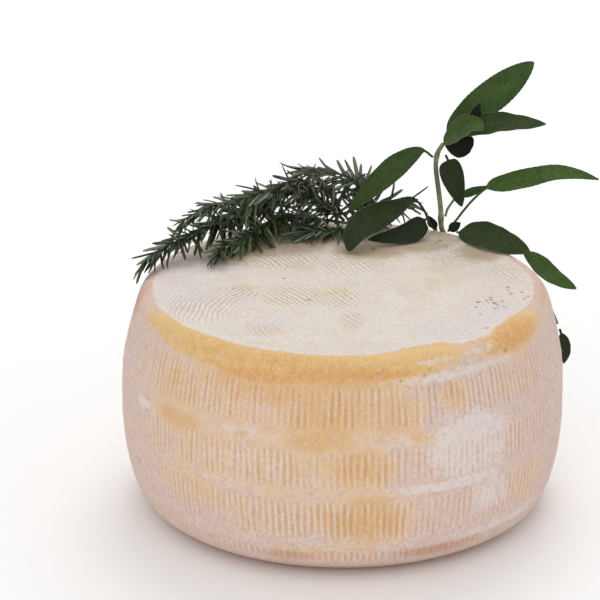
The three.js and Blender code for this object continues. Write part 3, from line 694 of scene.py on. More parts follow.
# Masks whose soft edge is broken up: the new mask, the old one, the range that turns it on, the noise that
# breaks it up, and by how much.
RIND_EDGES = (
    ("grooves", "relief", 0.12, 0.8, "streaks", 0.7),
    ("crests", "crest", 0.15, 0.75, "streaks", 0.9),
    ("oiled", "gold", 0.12, 0.82, "blots", 1.15),
    ("washed", "ochre", -0.1, 1.1, "clouds", 0.9),
    ("warmed", "washed", 0.05, 0.6, "mottle", 0.7),
    ("browned", "washed", 0.4, 1.05, "mottle", 0.7),
    ("dried orange", "ochre", 0.2, 0.8, "blots", 1.0),
    ("dusted", "bloom", 0.0, 1.0, "blots", 0.7),
    ("powdery", "dusted", 0.2, 0.85, "mottle", 1.0),
    ("reddened", "rose", 0.3, 1.0, "mottle", 1.1),
    # The next two are the painted shadow of the herbs on the face, broken up.
    ("pressed", "damp", 0.0, 1.0, "blots", 0.6),
    ("herb_shadowed", "pressed", 0.1, 1.0, "mottle", 0.9),
    ("printed", "print", 0.35, 1.15, "mottle", 2.2),
    ("on face", "face", 0.4, 0.6, "blots", 0.9),
    ("on lip", "face", 0.1, 0.3, "blots", 0.9),
)
# The two sides of the mat's strokes: where the swing from furrow to ridge turns each on.
STROKE_SIDES = (("furrow", -0.1, -0.9), ("ridge", 0.2, 0.9))
# What lies only where two of these meet.
RIND_MEETINGS = (
    ("brown grooves", "browned", "grooves"), ("orange oil", "oiled", "dried orange"),
    ("powder on ribs", "powdery", "out of grooves"), ("furrow print", "furrow", "printed"),
    ("ridge print", "ridge", "printed"), ("rosy print", "furrow", "reddened"),
    ("dark flecks", "dark dots", "specks"),
)
# Layers of colour. Each: what drives it, the range that turns it on, how much it covers, and its colour, as
# a setting of the wheel or a hex code.
WALL_LAYERS = (
    ("first tint", 0.42, 0.7, 0.3, "#dcb590"),
    ("second tint", 0.45, 0.7, 0.5, "#d2afa8"),
    ("warmed", 0.0, 1.0, 0.9, "honey"),
    ("browned", 0.0, 1.0, 0.8, "ochre"),
    ("grooves", 0.0, 1.0, 0.45, "groove"),
    ("brown grooves", 0.0, 1.0, 0.2, "#c98f52"),
    ("oiled", 0.0, 1.0, 0.88, "gold"),
    ("orange oil", 0.0, 1.0, 0.95, "#daa469"),
    ("third tint", 0.56, 0.7, 0.45, "#e0b694"),
    ("crests", 0.0, 1.0, 0.38, "crest"),
    ("powder on ribs", 0.0, 1.0, 0.85, "bloom"),
    ("reddened", 0.0, 1.0, 0.62, "rust"),
    ("grit", 0.55, 0.8, 0.45, "crest"),
    ("mottle", 0.56, 0.76, 0.5, "#cb9b78"),
)
FACE_LAYERS = (
    ("clouds", 0.45, 0.65, 0.8, "#d9cec4"),
    ("warmed", 0.0, 1.0, 0.5, "#dac6a2"),
    ("powdery", 0.0, 1.0, 0.5, "#dacfd3"),
    ("reddened", 0.0, 1.0, 0.14, "#d3a795"),
    ("furrow print", 0.0, 1.0, 0.6, "#a58c6d"),
    ("rosy print", 0.0, 1.0, 0.5, "#cc9a86"),
    ("ridge print", 0.0, 1.0, 0.3, "#efe9e1"),
    # Painted shadow of the herbs on the face.
    ("herb_shadowed", 0.0, 1.0, 0.72, "damp"),
    ("grit", 0.58, 0.76, 0.4, "#b9a48e"),
)
LIP_LAYERS = (("on lip", 0.0, 1.0, 0.5, "#e0bda0"),)
FLECK_LAYERS = (
    ("pale dots", 0.0, 1.0, 0.5, "#9d8064"),
    ("dark flecks", 0.0, 1.0, 0.85, "#7d5a44"),
    ("hole", 0.0, 1.0, 0.85, "fleck"),
)
# Light and dark in the powder, as factors on the colour.
RIND_SHADES = (("powder", 0.9, 1.09), ("mottle", 0.86, 1.13))


def rind_patterns(tree):
    """Every mask and noise of the rind by its name, as an output of the tree."""
    node = partial(add_node, tree)
    coords = node("ShaderNodeTexCoord", output="Object")
    upright = node("ShaderNodeMapping", {"Vector": coords, "Scale": STREAK_LENGTHS})
    here = {name: node("ShaderNodeAttribute", output="Fac", attribute_name=name) for name in RIND_MASKS}
    for name, grain, detail, rough in RIND_NOISES:
        here[name] = node(NOISE, {
            "Vector": upright if name == "streaks" else coords, "Scale": 1 / (grain * MM), "Detail": detail,
            "Roughness": rough,
        }, output="Fac")
    # The colour outputs of a noise are unlike its grey one, and give each tint its own spread.
    tints = node("ShaderNodeSeparateColor", {0: here["tints"].node.outputs["Color"]}).node.outputs
    here.update(zip(("first tint", "second tint", "third tint"), tints))
    for name, old, low, high, by, amount in RIND_EDGES:
        shifted = node(MATH, {0: here[by], 1: amount, 2: here[old]}, operation="MULTIPLY_ADD")
        centred = node(MATH, {0: shifted, 1: amount / 2}, operation="SUBTRACT")
        here[name] = node(
            MAP_RANGE, {"Value": centred, "From Min": low, "From Max": high}, interpolation_type="SMOOTHSTEP"
        )
    here["out of grooves"] = node(MAP_RANGE, {"Value": here["grooves"], "To Min": 1.0, "To Max": 0.35})
    # The mat's furrows are short strokes that wander off their line.
    strayed = node(MATH, {0: here["blots"], 1: 1.0, 2: here["reeds"]}, operation="MULTIPLY_ADD")
    turned = node(MATH, {0: strayed, 1: TURN}, operation="MULTIPLY")
    swing = node(MATH, {0: turned}, operation="COSINE")
    for name, start, end in STROKE_SIDES:
        here[name] = node(
            MAP_RANGE, {"Value": swing, "From Min": start, "From Max": end}, interpolation_type="SMOOTHSTEP"
        )
    # Flecks are dots of a cell pattern, each cell with a width of its own.
    cells = node("ShaderNodeTexVoronoi", {
        "Vector": coords, "Scale": 1 / (FLECK_SPACING * MM), "Randomness": 1.0,
    }).node.outputs
    for name, rare, wide in FLECK_KINDS:
        width = node(MAP_RANGE, {
            "Value": cells["Color"], "From Min": rare, "From Max": 1.0, "To Min": 0.0, "To Max": wide,
        })
        here[name] = node(MATH, {0: cells["Distance"], 1: width}, operation="LESS_THAN")
    for name, one, other in RIND_MEETINGS:
        here[name] = node(MATH, {0: here[one], 1: here[other]}, operation="MULTIPLY")
    return here


def rind_material(wheel):
    """Washed rind of a hard sheep's or cow's cheese, moulded in a basket and dried on a mat: a dry, faintly
    waxy skin. It gives the eye a matt, speckled surface, warm in the grooves and powdery on the crests."""
    material, tree = new_finish("washed_basket_rind")
    node = partial(add_node, tree)
    here = rind_patterns(tree)

    def covered(colour, layers):
        """A colour under the layers of a table."""
        return layered(tree, colour, [
            (here[name], low, high, top, linear(of) if of.startswith("#") else tuple(getattr(wheel, of)))
            for name, low, high, top, of in layers
        ])

    wall = covered(tuple(wheel.rind), WALL_LAYERS + LIP_LAYERS)
    face = covered(tuple(wheel.cream), FACE_LAYERS)
    surface = layered(tree, wall, [(here["on face"], 0.0, 1.0, 1.0, face)])
    surface = covered(surface, FLECK_LAYERS)
    for grain, low, high in RIND_SHADES:
        shade = node(MAP_RANGE, {
            "Value": here[grain], "From Min": 0.25, "From Max": 0.75, "To Min": low, "To Max": high,
        })
        surface = node(VECTOR_MATH, {0: surface, 1: shade}, operation="MULTIPLY")
    # Where it is oiled, the rind is a little less matt.
    roughness = node(MAP_RANGE, {"Value": here["oiled"], "To Min": 0.82, "To Max": 0.6})
    relief = node(MATH, {0: here["mottle"], 1: 0.8, 2: here["powder"]}, operation="MULTIPLY_ADD")
    bump = node("ShaderNodeBump", {"Height": relief, "Strength": 0.5, "Distance": 0.45 * MM})
    shader = node("ShaderNodeBsdfPrincipled", {
        "Base Color": surface, "Roughness": roughness, "Normal": bump, "IOR": 1.45,
        "Specular IOR Level": 0.3,
    })
    node("ShaderNodeOutputMaterial", {"Surface": shader})
    return material


class CHEESE_OT_wheel(bpy.types.Operator):
    """Build the cheese wheel, with its ribs, seams and mat print as real relief"""

    bl_idname = "cheese.wheel"
    bl_label = "Cheese wheel"

    def execute(self, context):
        wheel = context.scene.cheese_wheel
        points, faces, masks = build_wheel_mesh(wheel)
        piece = make_piece(
            "cheese_wheel_rind", points, faces, rind_material(wheel), wheel_masks(wheel, points, masks)
        )
        settle(piece, "rind", "cheese_wheel")
        return {"FINISHED"}


# ------------------------------------------------------------------ sage

LEAF_ROWS = 60
LEAF_COLUMNS = 20
# Painted shade and light: an old leaf takes the shaded copy of the leaf material, and a leaf's tone sets how
# far its colour goes from the darkest to the greenest, mostly by how far it is turned from the light and
# partly by its own colour.
SAGE_LEAVES = [
    {
        "name": "sage_leaf_top", "face": (-0.15, -0.95, 0.25), "width": 20.5, "stalk": 0.03, "cup": 0.16,
        "peak": 1.1, "blunt": 0.62, "old": False, "tone": 0.72,
        "spine": [(64.6, 100.9, 198.9), (69.1, 101.2, 207.6), (80.3, 103, 216.8), (94.5, 105.5, 227),
                  (118.5, 108, 247.1)],
    },
    {
        "name": "sage_leaf_right_high", "face": (0, -0.42, 0.9), "width": 19, "stalk": 0.08, "cup": 0.14,
        "peak": 0.85, "blunt": 0.75, "old": False, "tone": 0.32,
        "spine": [(68.3, 94.9, 201.3), (79.5, 91.5, 208.4), (93, 89.5, 212.1), (109.7, 88, 213.3),
                  (125.8, 87, 213.1)],
    },
    {
        "name": "sage_leaf_curled", "face": (-0.35, -0.62, 0.7), "width": 17, "stalk": 0.03, "cup": 0.3,
        "peak": 0.95, "blunt": 0.6, "old": False, "tone": 0.8,
        "spine": [(62.5, 95.5, 197), (65.7, 92, 201.7), (70.7, 87, 207.4), (76.4, 81, 212.4),
                  (81.9, 77, 215), (86.2, 73, 213.6)],
    },
    {
        "name": "sage_leaf_under", "face": (0.3, -0.8, 0.5), "width": 19.5, "stalk": 0.04, "cup": 0.2,
        "peak": 0.7, "blunt": 0.6, "old": True, "tone": 0,
        "spine": [(69.3, 97.4, 201.5), (71.5, 95.6, 198.4), (72.4, 94, 194), (72.3, 92.8, 189)],
    },
    {
        "name": "sage_leaf_hanging", "face": (-0.1, -1, 0.15), "width": 14.8, "stalk": 0.1, "cup": 0.14,
        "peak": 0.52, "blunt": 0.62, "old": True, "tone": 0.95,
        "spine": [(64.1, 96.6, 189.7), (66, 95.5, 185.9), (67.7, 94, 180), (70.6, 92.5, 170.4),
                  (74.7, 92, 157.2)],
    },
    {
        "name": "sage_leaf_left_high", "face": (-0.35, -0.85, 0.45), "width": 15.5, "stalk": 0.1, "cup": 0.14,
        "peak": 0.85, "blunt": 0.75, "old": False, "tone": 0.5,
        "spine": [(56.2, 98, 187.8), (49.7, 96, 192.7), (38, 90, 188), (21.4, 86, 174.5),
                  (3.5, 84, 156.3)],
    },
    {
        "name": "sage_leaf_left_low", "face": (-0.3, -0.8, 0.5), "width": 19, "stalk": 0.28, "cup": 0.12,
        "peak": 1.35, "blunt": 0.6, "old": False, "tone": 0.08,
        "spine": [(58.5, 97.4, 139.5), (55, 95.2, 143.7), (51.4, 93, 153.5), (44.6, 90.5, 161.9),
                  (32.3, 84, 158.2), (15.3, 72, 152.9), (7.6, 63, 148.2), (3.6, 55.4, 139.8)],
    },
    {
        "name": "sage_leaf_lying", "face": (0.1, -0.62, 0.76), "width": 15, "stalk": 0.08, "cup": 0.12,
        "peak": 0.55, "blunt": 0.65, "old": True, "tone": 0.7,
        "spine": [(54.4, 91.5, 150), (49.7, 89.6, 147.4), (43.3, 81.5, 143.2), (31.2, 75.1, 142.4),
                  (15.9, 72, 141.6)],
    },
    {
        "name": "sage_leaf_long", "face": (0.05, -0.75, 0.66), "width": 13.3, "stalk": 0.34, "cup": 0.16,
        "peak": 0.62, "blunt": 0.7, "old": False, "tone": 1,
        "spine": [(67.1, 98.4, 138.9), (71.4, 99.4, 145), (82.3, 102, 158.3), (91.8, 103, 166.3),
                  (103, 103, 169), (114.6, 102.6, 172), (133.7, 102, 176.5), (147.5, 101, 175.9),
                  (160.9, 100, 172.8)],
    },
    {
        "name": "sage_leaf_small", "face": (0, -0.8, 0.6), "width": 5.6, "stalk": 0.1, "cup": 0.1,
        "peak": 0.85, "blunt": 0.75, "old": False, "tone": 0.6,
        "spine": [(71.5, 107.2, 157.9), (79.8, 107.5, 160.9), (91, 109, 164.9)],
    },
    {
        "name": "sage_leaf_rim_1", "face": (-0.2, -0.55, 0.8), "width": 20, "stalk": 0.04, "cup": 0.12,
        "peak": 0.8, "blunt": 0.62, "old": False, "tone": 0.25,
        "spine": [(71.8, 90, 140.6), (80.2, 82, 143.1), (90.3, 72, 143.8), (101.5, 62, 143),
                  (115.6, 50.5, 141.5)],
    },
    {
        "name": "sage_leaf_rim_2", "face": (0.05, -0.62, 0.78), "width": 12.5, "stalk": 0.04, "cup": 0.12,
        "peak": 0.95, "blunt": 0.65, "old": False, "tone": 0.8,
        "spine": [(111.3, 63, 138.6), (118.6, 55, 135.7), (128.9, 46, 128.2), (144.1, 38.5, 122)],
    },
    {
        "name": "sage_leaf_side", "face": (0.35, -0.93, 0.05), "width": 8.5, "stalk": 0.12, "cup": 0.2,
        "peak": 0.85, "blunt": 0.75, "old": True, "tone": 1,
        "spine": [(135, 42, 94), (137, 40.5, 87.8), (138.2, 39, 80.6), (138, 38, 72.6)],
    },
    {
        "name": "sage_leaf_base_left", "face": (-0.3, -0.9, 0.2), "width": 6, "stalk": 0.1, "cup": 0.15,
        "peak": 0.85, "blunt": 0.75, "old": True, "tone": 0.3,
        "spine": [(59.5, 100.8, 138.1), (56.7, 99.5, 143.3), (53.4, 98.8, 148.6)],
    },
    {
        "name": "sage_leaf_base_right", "face": (0, -0.85, 0.5), "width": 6.5, "stalk": 0.1, "cup": 0.15,
        "peak": 0.85, "blunt": 0.75, "old": True, "tone": 0.3,
        "spine": [(66.2, 95.6, 139.2), (70, 95.8, 141.8), (74.3, 96.2, 144.7)],
    },
    {
        "name": "sage_leaf_tip", "face": (-0.2, -0.9, 0.3), "width": 7, "stalk": 0.05, "cup": 0.12,
        "peak": 0.6, "blunt": 0.75, "old": True, "tone": 0,
        "spine": [(82.1, 90, 213.9), (82.4, 90.5, 218.1), (84.8, 91.5, 225)],
    },
]


VEIN_PAIRS = 11
VEIN_SLANT = 2.1  # at the leaf's edge, a side vein has run forward by this many veins' distance
VEIN_BOW = 0.8
SIDE_VEIN_WIDTH = 0.2  # half of it, as a share of the distance between two
MIDRIB_WIDTH = (0.02, 0.13)  # from where it is full to where it ends, as shares of the leaf's half width
MIDRIB_DEPTH = 0.8
SIDE_VEIN_DEPTH = 0.7
SCALLOP = (0.018, 150)  # share of the half width, and how it runs along the leaf
# Waves and crinkles lift a blade: share of the half width, and how they run along and across it.
LEAF_WAVE = (0.1, 9, 2)
LEAF_CRINKLE = (0.035, 31, 4)
TIP_THINNING = 0.65  # how much of its thickness a blade loses at its very tip
TIP_REACH = 0.06  # and over what share of its length


def leaf_half_width(sage, leaf, t):
    """Half width along a leaf: a thin stalk, then a blade. A blade with a peak under 1 is fullest before
    its middle, and the smaller blunt is, the rounder are its two ends."""
    blade = np.clip((t - leaf["stalk"]) / (1 - leaf["stalk"]), 0, 1)
    fullness = np.maximum(np.sin(math.pi * blade ** leaf["peak"]), 0) ** leaf["blunt"]
    return np.maximum(sage.stalk / MM, leaf["width"] / 2 * fullness)


def vein_pattern(t, u, stalk):
    """1 on the midrib and the side veins of a leaf, 0 between them."""
    blade = (t - stalk) / (1 - stalk)
    run = blade * VEIN_PAIRS - VEIN_SLANT * np.abs(u) ** VEIN_BOW
    off = np.abs(run - np.round(run))
    side_veins = 1 - smoothstep(0, SIDE_VEIN_WIDTH, off)
    side_veins = side_veins * smoothstep(0, 0.1, blade) * (1 - 0.6 * np.abs(u))
    midrib = 1 - smoothstep(*MIDRIB_WIDTH, np.abs(u))
    return np.maximum(MIDRIB_DEPTH * midrib, SIDE_VEIN_DEPTH * side_veins)


def build_leaf(sage, leaf, material):
    """One leaf as a thin closed sheet with pressed-in veins and a finely scalloped, wavy edge."""
    rows = LEAF_ROWS
    columns = LEAF_COLUMNS
    path, along = smooth_path(leaf["spine"], rows + 1)
    t = np.linspace(0, 1, rows + 1)[:, None]
    u = np.linspace(-1, 1, columns + 1)[None, :]
    side = unit(np.cross(along, np.array(leaf["face"], float)))
    out = unit(np.cross(side, along))
    half = leaf_half_width(sage, leaf, t)
    # The width also sets each leaf's waves apart from the next one's.
    cut, cuts = SCALLOP
    scallop = 1 + cut * np.sin(cuts * t + leaf["width"]) * smoothstep(0.5, 1, np.abs(u)) * (half > 2)
    wave, crinkle = (
        high * np.sin(on * t + over * u + leaf["width"]) for high, on, over in (LEAF_WAVE, LEAF_CRINKLE)
    )
    lift = half * (leaf["cup"] * u * u + wave * np.abs(u) + crinkle * np.abs(u) ** 2)
    veins = vein_pattern(t, u, leaf["stalk"]) * smoothstep(1.0, 3.0, half)
    lift = lift - sage.vein_depth / MM * veins
    thick = (sage.blade * (1 - np.abs(u)) + sage.edge * np.abs(u)) / MM + 0 * t
    thick = thick * (1 - TIP_THINNING + TIP_THINNING * smoothstep(0, TIP_REACH, 1 - t)) * (1 + 0 * u)
    sideways = side[:, None, :] * (half * u * scallop)[..., None]
    centre = path[:, None, :] + sideways + out[:, None, :] * lift[..., None]
    upper = centre + out[:, None, :] * (thick / 2)[..., None]
    lower = centre - out[:, None, :] * (thick / 2)[..., None]
    points = np.concatenate([upper.reshape(-1, 3), lower.reshape(-1, 3)])
    offset = (rows + 1) * (columns + 1)

    def at(i, j):
        return i * (columns + 1) + j

    faces = []
    for i in range(rows):
        for j in range(columns):
            a, b, c, d = at(i, j), at(i, j + 1), at(i + 1, j + 1), at(i + 1, j)
            faces.append((a, b, c, d))
            faces.append((offset + a, offset + d, offset + c, offset + b))
        for j, order in ((0, 1), (columns, -1)):
            a, d = at(i, j), at(i + 1, j)
            faces.append((a, d, offset + d, offset + a)[::order])
    for j in range(columns):
        for i, order in ((0, -1), (rows, 1)):
            a, b = at(i, j), at(i, j + 1)
            faces.append((a, offset + a, offset + b, b)[::-order])
    grid_u = np.broadcast_to((u + 1) / 2, (rows + 1, columns + 1)).ravel()
    grid_t = np.broadcast_to(t, (rows + 1, columns + 1)).ravel()
    uvs = np.stack([np.tile(grid_u, 2), np.tile(grid_t, 2)], -1)
    # The tone is partly painted shade, darker for a leaf turned away from the light.
    marks = {"underside": np.repeat([0.0, 1.0], offset), "tone": np.full(2 * offset, leaf["tone"])}
    return make_piece(leaf["name"] + "_blade", points, faces, material, marks, uvs)


LEAF_NOISES = ((9, 3.0), (3.2, 4.0), (0.35, 2.0))  # grain in millimetres and detail: patches, clouds, hairs
PEBBLE_SIZE = 1.1  # millimetres


def leaf_material(sage, name, darkest, greenest, under):
    """Sage leaf: a felt of fine hairs over a pebbled blade. It gives the eye a soft, matt green that
    darkens between the veins and towards the edge, a thin pale fringe of hairs, and a greyer underside."""
    material, tree = new_finish(name)
    node = partial(add_node, tree)
    coords = node("ShaderNodeTexCoord").node.outputs
    across = node("ShaderNodeSeparateXYZ", {0: coords["UV"]}, output="X")
    centred = node(MATH, {0: across, 1: 2.0, 2: -1.0}, operation="MULTIPLY_ADD")
    aside = node(MATH, {0: centred}, operation="ABSOLUTE")
    below, tone = (
        node("ShaderNodeAttribute", output="Fac", attribute_name=mask) for mask in ("underside", "tone")
    )
    pebble = node("ShaderNodeTexVoronoi", {
        "Vector": coords["Object"], "Scale": 1 / (PEBBLE_SIZE * MM), "Randomness": 0.9,
    }, output="Distance")
    patch, cloud, hairs = (
        node(NOISE, {"Vector": coords["Object"], "Scale": 1 / (grain * MM), "Detail": detail}, output="Fac")
        for grain, detail in LEAF_NOISES
    )
    # Painted shade and light: the tone mixes from the darkest colour, for a leaf in shade, to the greenest,
    # for a lit one.
    colour = node("ShaderNodeMix", {0: tone, 6: darkest, 7: greenest}, output=2, data_type="RGBA")
    lighter, dimmer = (
        node(VECTOR_MATH, {0: colour, "Scale": factor}, operation="SCALE") for factor in (1.5, 0.5)
    )
    colour = layered(tree, colour, (
        (patch, 0.45, 0.68, 0.55, lighter),
        (cloud, 0.5, 0.72, 0.5, dimmer),
        (pebble, 0.3, 0.75, 0.45, dimmer),
        (aside, 0.84, 0.95, 0.55, dimmer),
        (aside, 0.07, 0.0, 0.4, lighter),
        (below, 0.0, 1.0, 1.0, under),
        (aside, 0.955, 1.0, 0.6, tuple(sage.down)),
        (hairs, 0.55, 0.8, 0.12, tuple(sage.down)),
    ))
    relief = node(MATH, {0: hairs, 1: 0.3, 2: pebble}, operation="MULTIPLY_ADD")
    bump = node("ShaderNodeBump", {"Height": relief, "Strength": 0.7, "Distance": 0.25 * MM})
    shader = node("ShaderNodeBsdfPrincipled", {
        "Base Color": colour, "Roughness": 0.7, "Normal": bump, "IOR": 1.42, "Specular IOR Level": 0.14,
        "Sheen Weight": 0.03, "Sheen Roughness": 0.45,
    })
    node("ShaderNodeOutputMaterial", {"Surface": shader})
    return material


class CHEESE_OT_sage_leaves(bpy.types.Operator):
    """Build the sage leaves on their stalks"""

    bl_idname = "cheese.sage_leaves"
    bl_label = "Sage leaves"

    def execute(self, context):
        sage = context.scene.cheese_sage
        under = tuple(sage.under)
        young = leaf_material(sage, "downy_sage_leaf", tuple(sage.dark), tuple(sage.leaf), under)
        # Painted shade: a shaded copy of the leaf material, darker and with a dimmer underside, for the
        # leaves that lie in shade.
        shaded_under = tuple(0.4 * c for c in under[:3]) + (1.0,)
        old = leaf_material(sage, "old_sage_leaf", tuple(sage.shade), tuple(sage.faded), shaded_under)
        for leaf in SAGE_LEAVES:
            piece = build_leaf(sage, leaf, old if leaf["old"] else young)
            settle(piece, "leaf", leaf["name"])
        return {"FINISHED"}


STEM_SIDES = 16
STEM_SQUARENESS = 0.07  # how far a sage stem's four sides stand out
STEM_NOISES = ((9, 3.0), (0.4, 2.0))  # grain in millimetres and detail: the flush and the felt
KNOT_SWELL = 0.25  # how much thicker a stem is at a knot, and how far along it that reaches
KNOT_REACH = 0.012
SAGE_STEMS = [
    {
        "name": "sage_stem", "radii": (2.1, 1.35), "knots": (0.75, 0.955),
        "path": [(77, 130, 1.8), (74.6, 125.5, 60), (72, 119.5, 105), (66.4, 112.5, 128.5),
                 (62.5, 101.5, 139.8), (61.7, 100, 153.3), (59.8, 99.5, 168.1), (58.3, 99.5, 179.3),
                 (58.3, 99.5, 184.9), (59.4, 99.8, 190.3), (62.6, 100, 196)],
    },
    {
        "name": "sage_stalk", "radii": (0.75, 0.75), "knots": (),
        "path": [(64.8, 101.8, 147), (66.4, 103.8, 151.6), (70.7, 106.6, 157.2)],
    },
    {
        "name": "sage_low_stem", "radii": (1.3, 0.75), "knots": (0.35, 0.72),
        "path": [(71.4, 113, 127.6), (84.2, 101.4, 128.6), (103, 81.5, 126.5), (117, 62, 119.5),
                 (127.5, 50, 109), (133.9, 43.6, 96.8)],
    },
]


def build_tube(name, path, along, radii, material, swell=None):
    """A closed, slightly four-sided stem along a path."""
    count = len(path)
    across = np.zeros_like(path)
    guide = np.array([0.0, -1.0, 0.2])
    for i in range(count):
        guide = guide - along[i] * np.dot(guide, along[i])
        guide /= np.linalg.norm(guide)
        across[i] = guide
    other = np.cross(along, across)
    angle = np.arange(STEM_SIDES) / STEM_SIDES * TURN
    square = 1 + STEM_SQUARENESS * np.cos(4 * angle)
    radius = np.linspace(radii[0], radii[1], count) * (1 if swell is None else swell)
    ring = across[:, None] * np.cos(angle)[None, :, None] + other[:, None] * np.sin(angle)[None, :, None]
    points = path[:, None] + ring * (radius[:, None] * square[None, :])[..., None]
    points = np.concatenate([points.reshape(-1, 3), path[:1], path[-1:]])
    start, end = count * STEM_SIDES, count * STEM_SIDES + 1
    faces = []
    for j in range(STEM_SIDES):
        k = (j + 1) % STEM_SIDES
        for i in range(count - 1):
            a, b = i * STEM_SIDES, (i + 1) * STEM_SIDES
            faces.append((a + j, a + k, b + k, b + j))
        faces.append((start, k, j))
        last = (count - 1) * STEM_SIDES
        faces.append((end, last + j, last + k))
    return make_piece(name, points, faces, material)


def stem_material(sage):
    """Sage stem: young green bark under a grey felt. It gives the eye a dull green with a pink flush."""
    material, tree = new_finish("downy_sage_stem")
    node = partial(add_node, tree)
    coords = node("ShaderNodeTexCoord", output="Object")
    flush, felt = (
        node(NOISE, {"Vector": coords, "Scale": 1 / (grain * MM), "Detail": detail}, output="Fac")
        for grain, detail in STEM_NOISES
    )
    colour = layered(tree, tuple(sage.stem), (
        (flush, 0.45, 0.62, 0.8, tuple(sage.flush)),
        (felt, 0.5, 0.7, 0.3, tuple(sage.down)),
    ))
    bump = node("ShaderNodeBump", {"Height": felt, "Strength": 0.4, "Distance": 0.15 * MM})
    shader = node("ShaderNodeBsdfPrincipled", {
        "Base Color": colour, "Roughness": 0.6, "Normal": bump, "IOR": 1.42, "Sheen Weight": 0.1,
    })
    node("ShaderNodeOutputMaterial", {"Surface": shader})
    return material


class CHEESE_OT_sage_stems(bpy.types.Operator):
    """Build the sage's main stem and its two side stems"""

    bl_idname = "cheese.sage_stems"
    bl_label = "Sage stems"

    def execute(self, context):
        material = stem_material(context.scene.cheese_sage)
        for stem in SAGE_STEMS:
            count = 120 if stem["knots"] else 16
            path, along = smooth_path(stem["path"], count)
            share = np.linspace(0, 1, count)
            bulges = (np.exp(-(((share - knot) / KNOT_REACH) ** 2)) for knot in stem["knots"])
            swell = 1 + sum(KNOT_SWELL * bulge for bulge in bulges)
            piece = build_tube(stem["name"] + "_bark", path, along, stem["radii"], material, swell)
            settle(piece, "stem", stem["name"])
        return {"FINISHED"}


# ------------------------------------------------------------------ rosemary

SPRIGS = [
    {
        "name": "rosemary_sprig_front", "bare": 0.13, "draw": 21,
        "path": [(4, 105, 141), (-13, 107.5, 142.6), (-24, 109.5, 143.8), (-34, 105, 146), (-45, 93, 146.8),
                 (-58, 65, 147), (-72, 46, 146), (-79, 33, 145.5)],
    },
    {
        "name": "rosemary_sprig_left", "bare": 0.06, "draw": 39,
        "path": [(-32, 115.6, 147.8), (-47, 109.5, 152), (-65, 94, 152.5), (-82, 68, 152.5),
                 (-97, 48, 151.5), (-114, 29, 148.5), (-120.5, 22, 146)],
    },
    {
        "name": "rosemary_sprig_upper", "bare": 0.04, "draw": 47,
        "path": [(0.6, 107, 142.3), (-8, 104, 151), (-17, 100, 159), (-23, 96, 169), (-30, 92, 173),
                 (-45, 82, 171), (-62, 74, 168), (-82, 66, 165.4), (-96, 56, 161.4), (-100, 51.5, 160)],
    },
    {
        "name": "rosemary_sprig_back", "bare": 0.05, "draw": 40,
        "path": [(1.8, 111.4, 144.6), (7.5, 111.4, 152.5), (10.5, 110, 160), (9, 109, 167), (-1, 108, 172.5),
                 (-13, 107, 175.5), (-24, 106, 176)],
    },
    {
        "name": "rosemary_sprig_inner", "bare": 0.05, "draw": 44,
        "path": [(-8.4, 112, 150), (-15.6, 112.5, 155.5), (-26.8, 111, 160), (-39.9, 107, 159),
                 (-51.7, 103, 155.5)],
    },
    {
        "name": "rosemary_sprig_middle", "bare": 0.05, "draw": 51,
        "path": [(-1.5, 111.2, 144.2), (-4.5, 110.4, 152), (-8.5, 109, 160), (-15, 107.6, 167.4)],
    },
    {
        "name": "rosemary_sprig_low", "bare": 0.1, "draw": 79,
        "path": [(3.6, 95, 140.8), (-6, 89.4, 141.6), (-17, 85.6, 142.2), (-28, 83.4, 142.8)],
    },
    {
        "name": "rosemary_sprig_right", "bare": 0.1, "draw": 97,
        "path": [(2.6, 107, 142.2), (14, 106, 150.6), (30, 105, 155), (41, 103, 157)],
    },
]
NEEDLE_KINDS = 3
LEAST_BEND = -0.16  # how far the first kind of needle bows, as a share of its length
BEND_STEP = 0.19  # and how much more each next kind does
NEEDLE_SIDES = 6
NEEDLE_BULGE = (0.62, 0.35)  # of its upper side and of its underside, as shares of half its width
NEEDLE_FOOT = -0.3  # its foot reaches this far into the stem
# A needle is a strap with a blunt tip: shares of its length, and how full it is there.
NEEDLE_STATIONS = ((0.0, 0.55), (0.12, 0.9), (0.38, 1.0), (0.66, 0.96), (0.86, 0.8), (0.96, 0.5))
SPRIG_STEP = 1.5  # distance between two points of a stem
REST_GAP = 1.3  # a needle's tip that lies on the cheese stays this far over its mean height
REST_PASSES = 3
RIM_SET_IN = 8.0  # past this far inside the belly's radius, tips may hang over the rim


def build_needle(rosemary, bend):
    """One needle along +Z, with its flat underside towards +Y and its tip bowed that way."""
    long = rosemary.needle / MM
    half = rosemary.width / MM / 2
    points = []
    under = []
    for t, swell in NEEDLE_STATIONS:
        bow = bend * long * t * t
        for j in range(NEEDLE_SIDES):
            angle = j / NEEDLE_SIDES * TURN
            below = math.sin(angle) > 0.1
            depth = NEEDLE_BULGE[below]
            across = half * swell * math.cos(angle)
            points.append((across, bow + half * swell * depth * math.sin(angle), t * long))
            under.append(1.0 if below else 0.0)
    points += [(0, 0, NEEDLE_FOOT), (0, bend * long, long)]
    under += [0.0, 0.0]
    faces = []
    base, tip = len(points) - 2, len(points) - 1
    for j in range(NEEDLE_SIDES):
        k = (j + 1) % NEEDLE_SIDES
        for i in range(len(NEEDLE_STATIONS) - 1):
            a, b = i * NEEDLE_SIDES, (i + 1) * NEEDLE_SIDES
            faces.append((a + j, a + k, b + k, b + j))
        last = (len(NEEDLE_STATIONS) - 1) * NEEDLE_SIDES
        faces.append((base, k, j))
        faces.append((tip, last + j, last + k))
    return points, faces, under


NEEDLE_GRAIN = 1.2  # millimetres


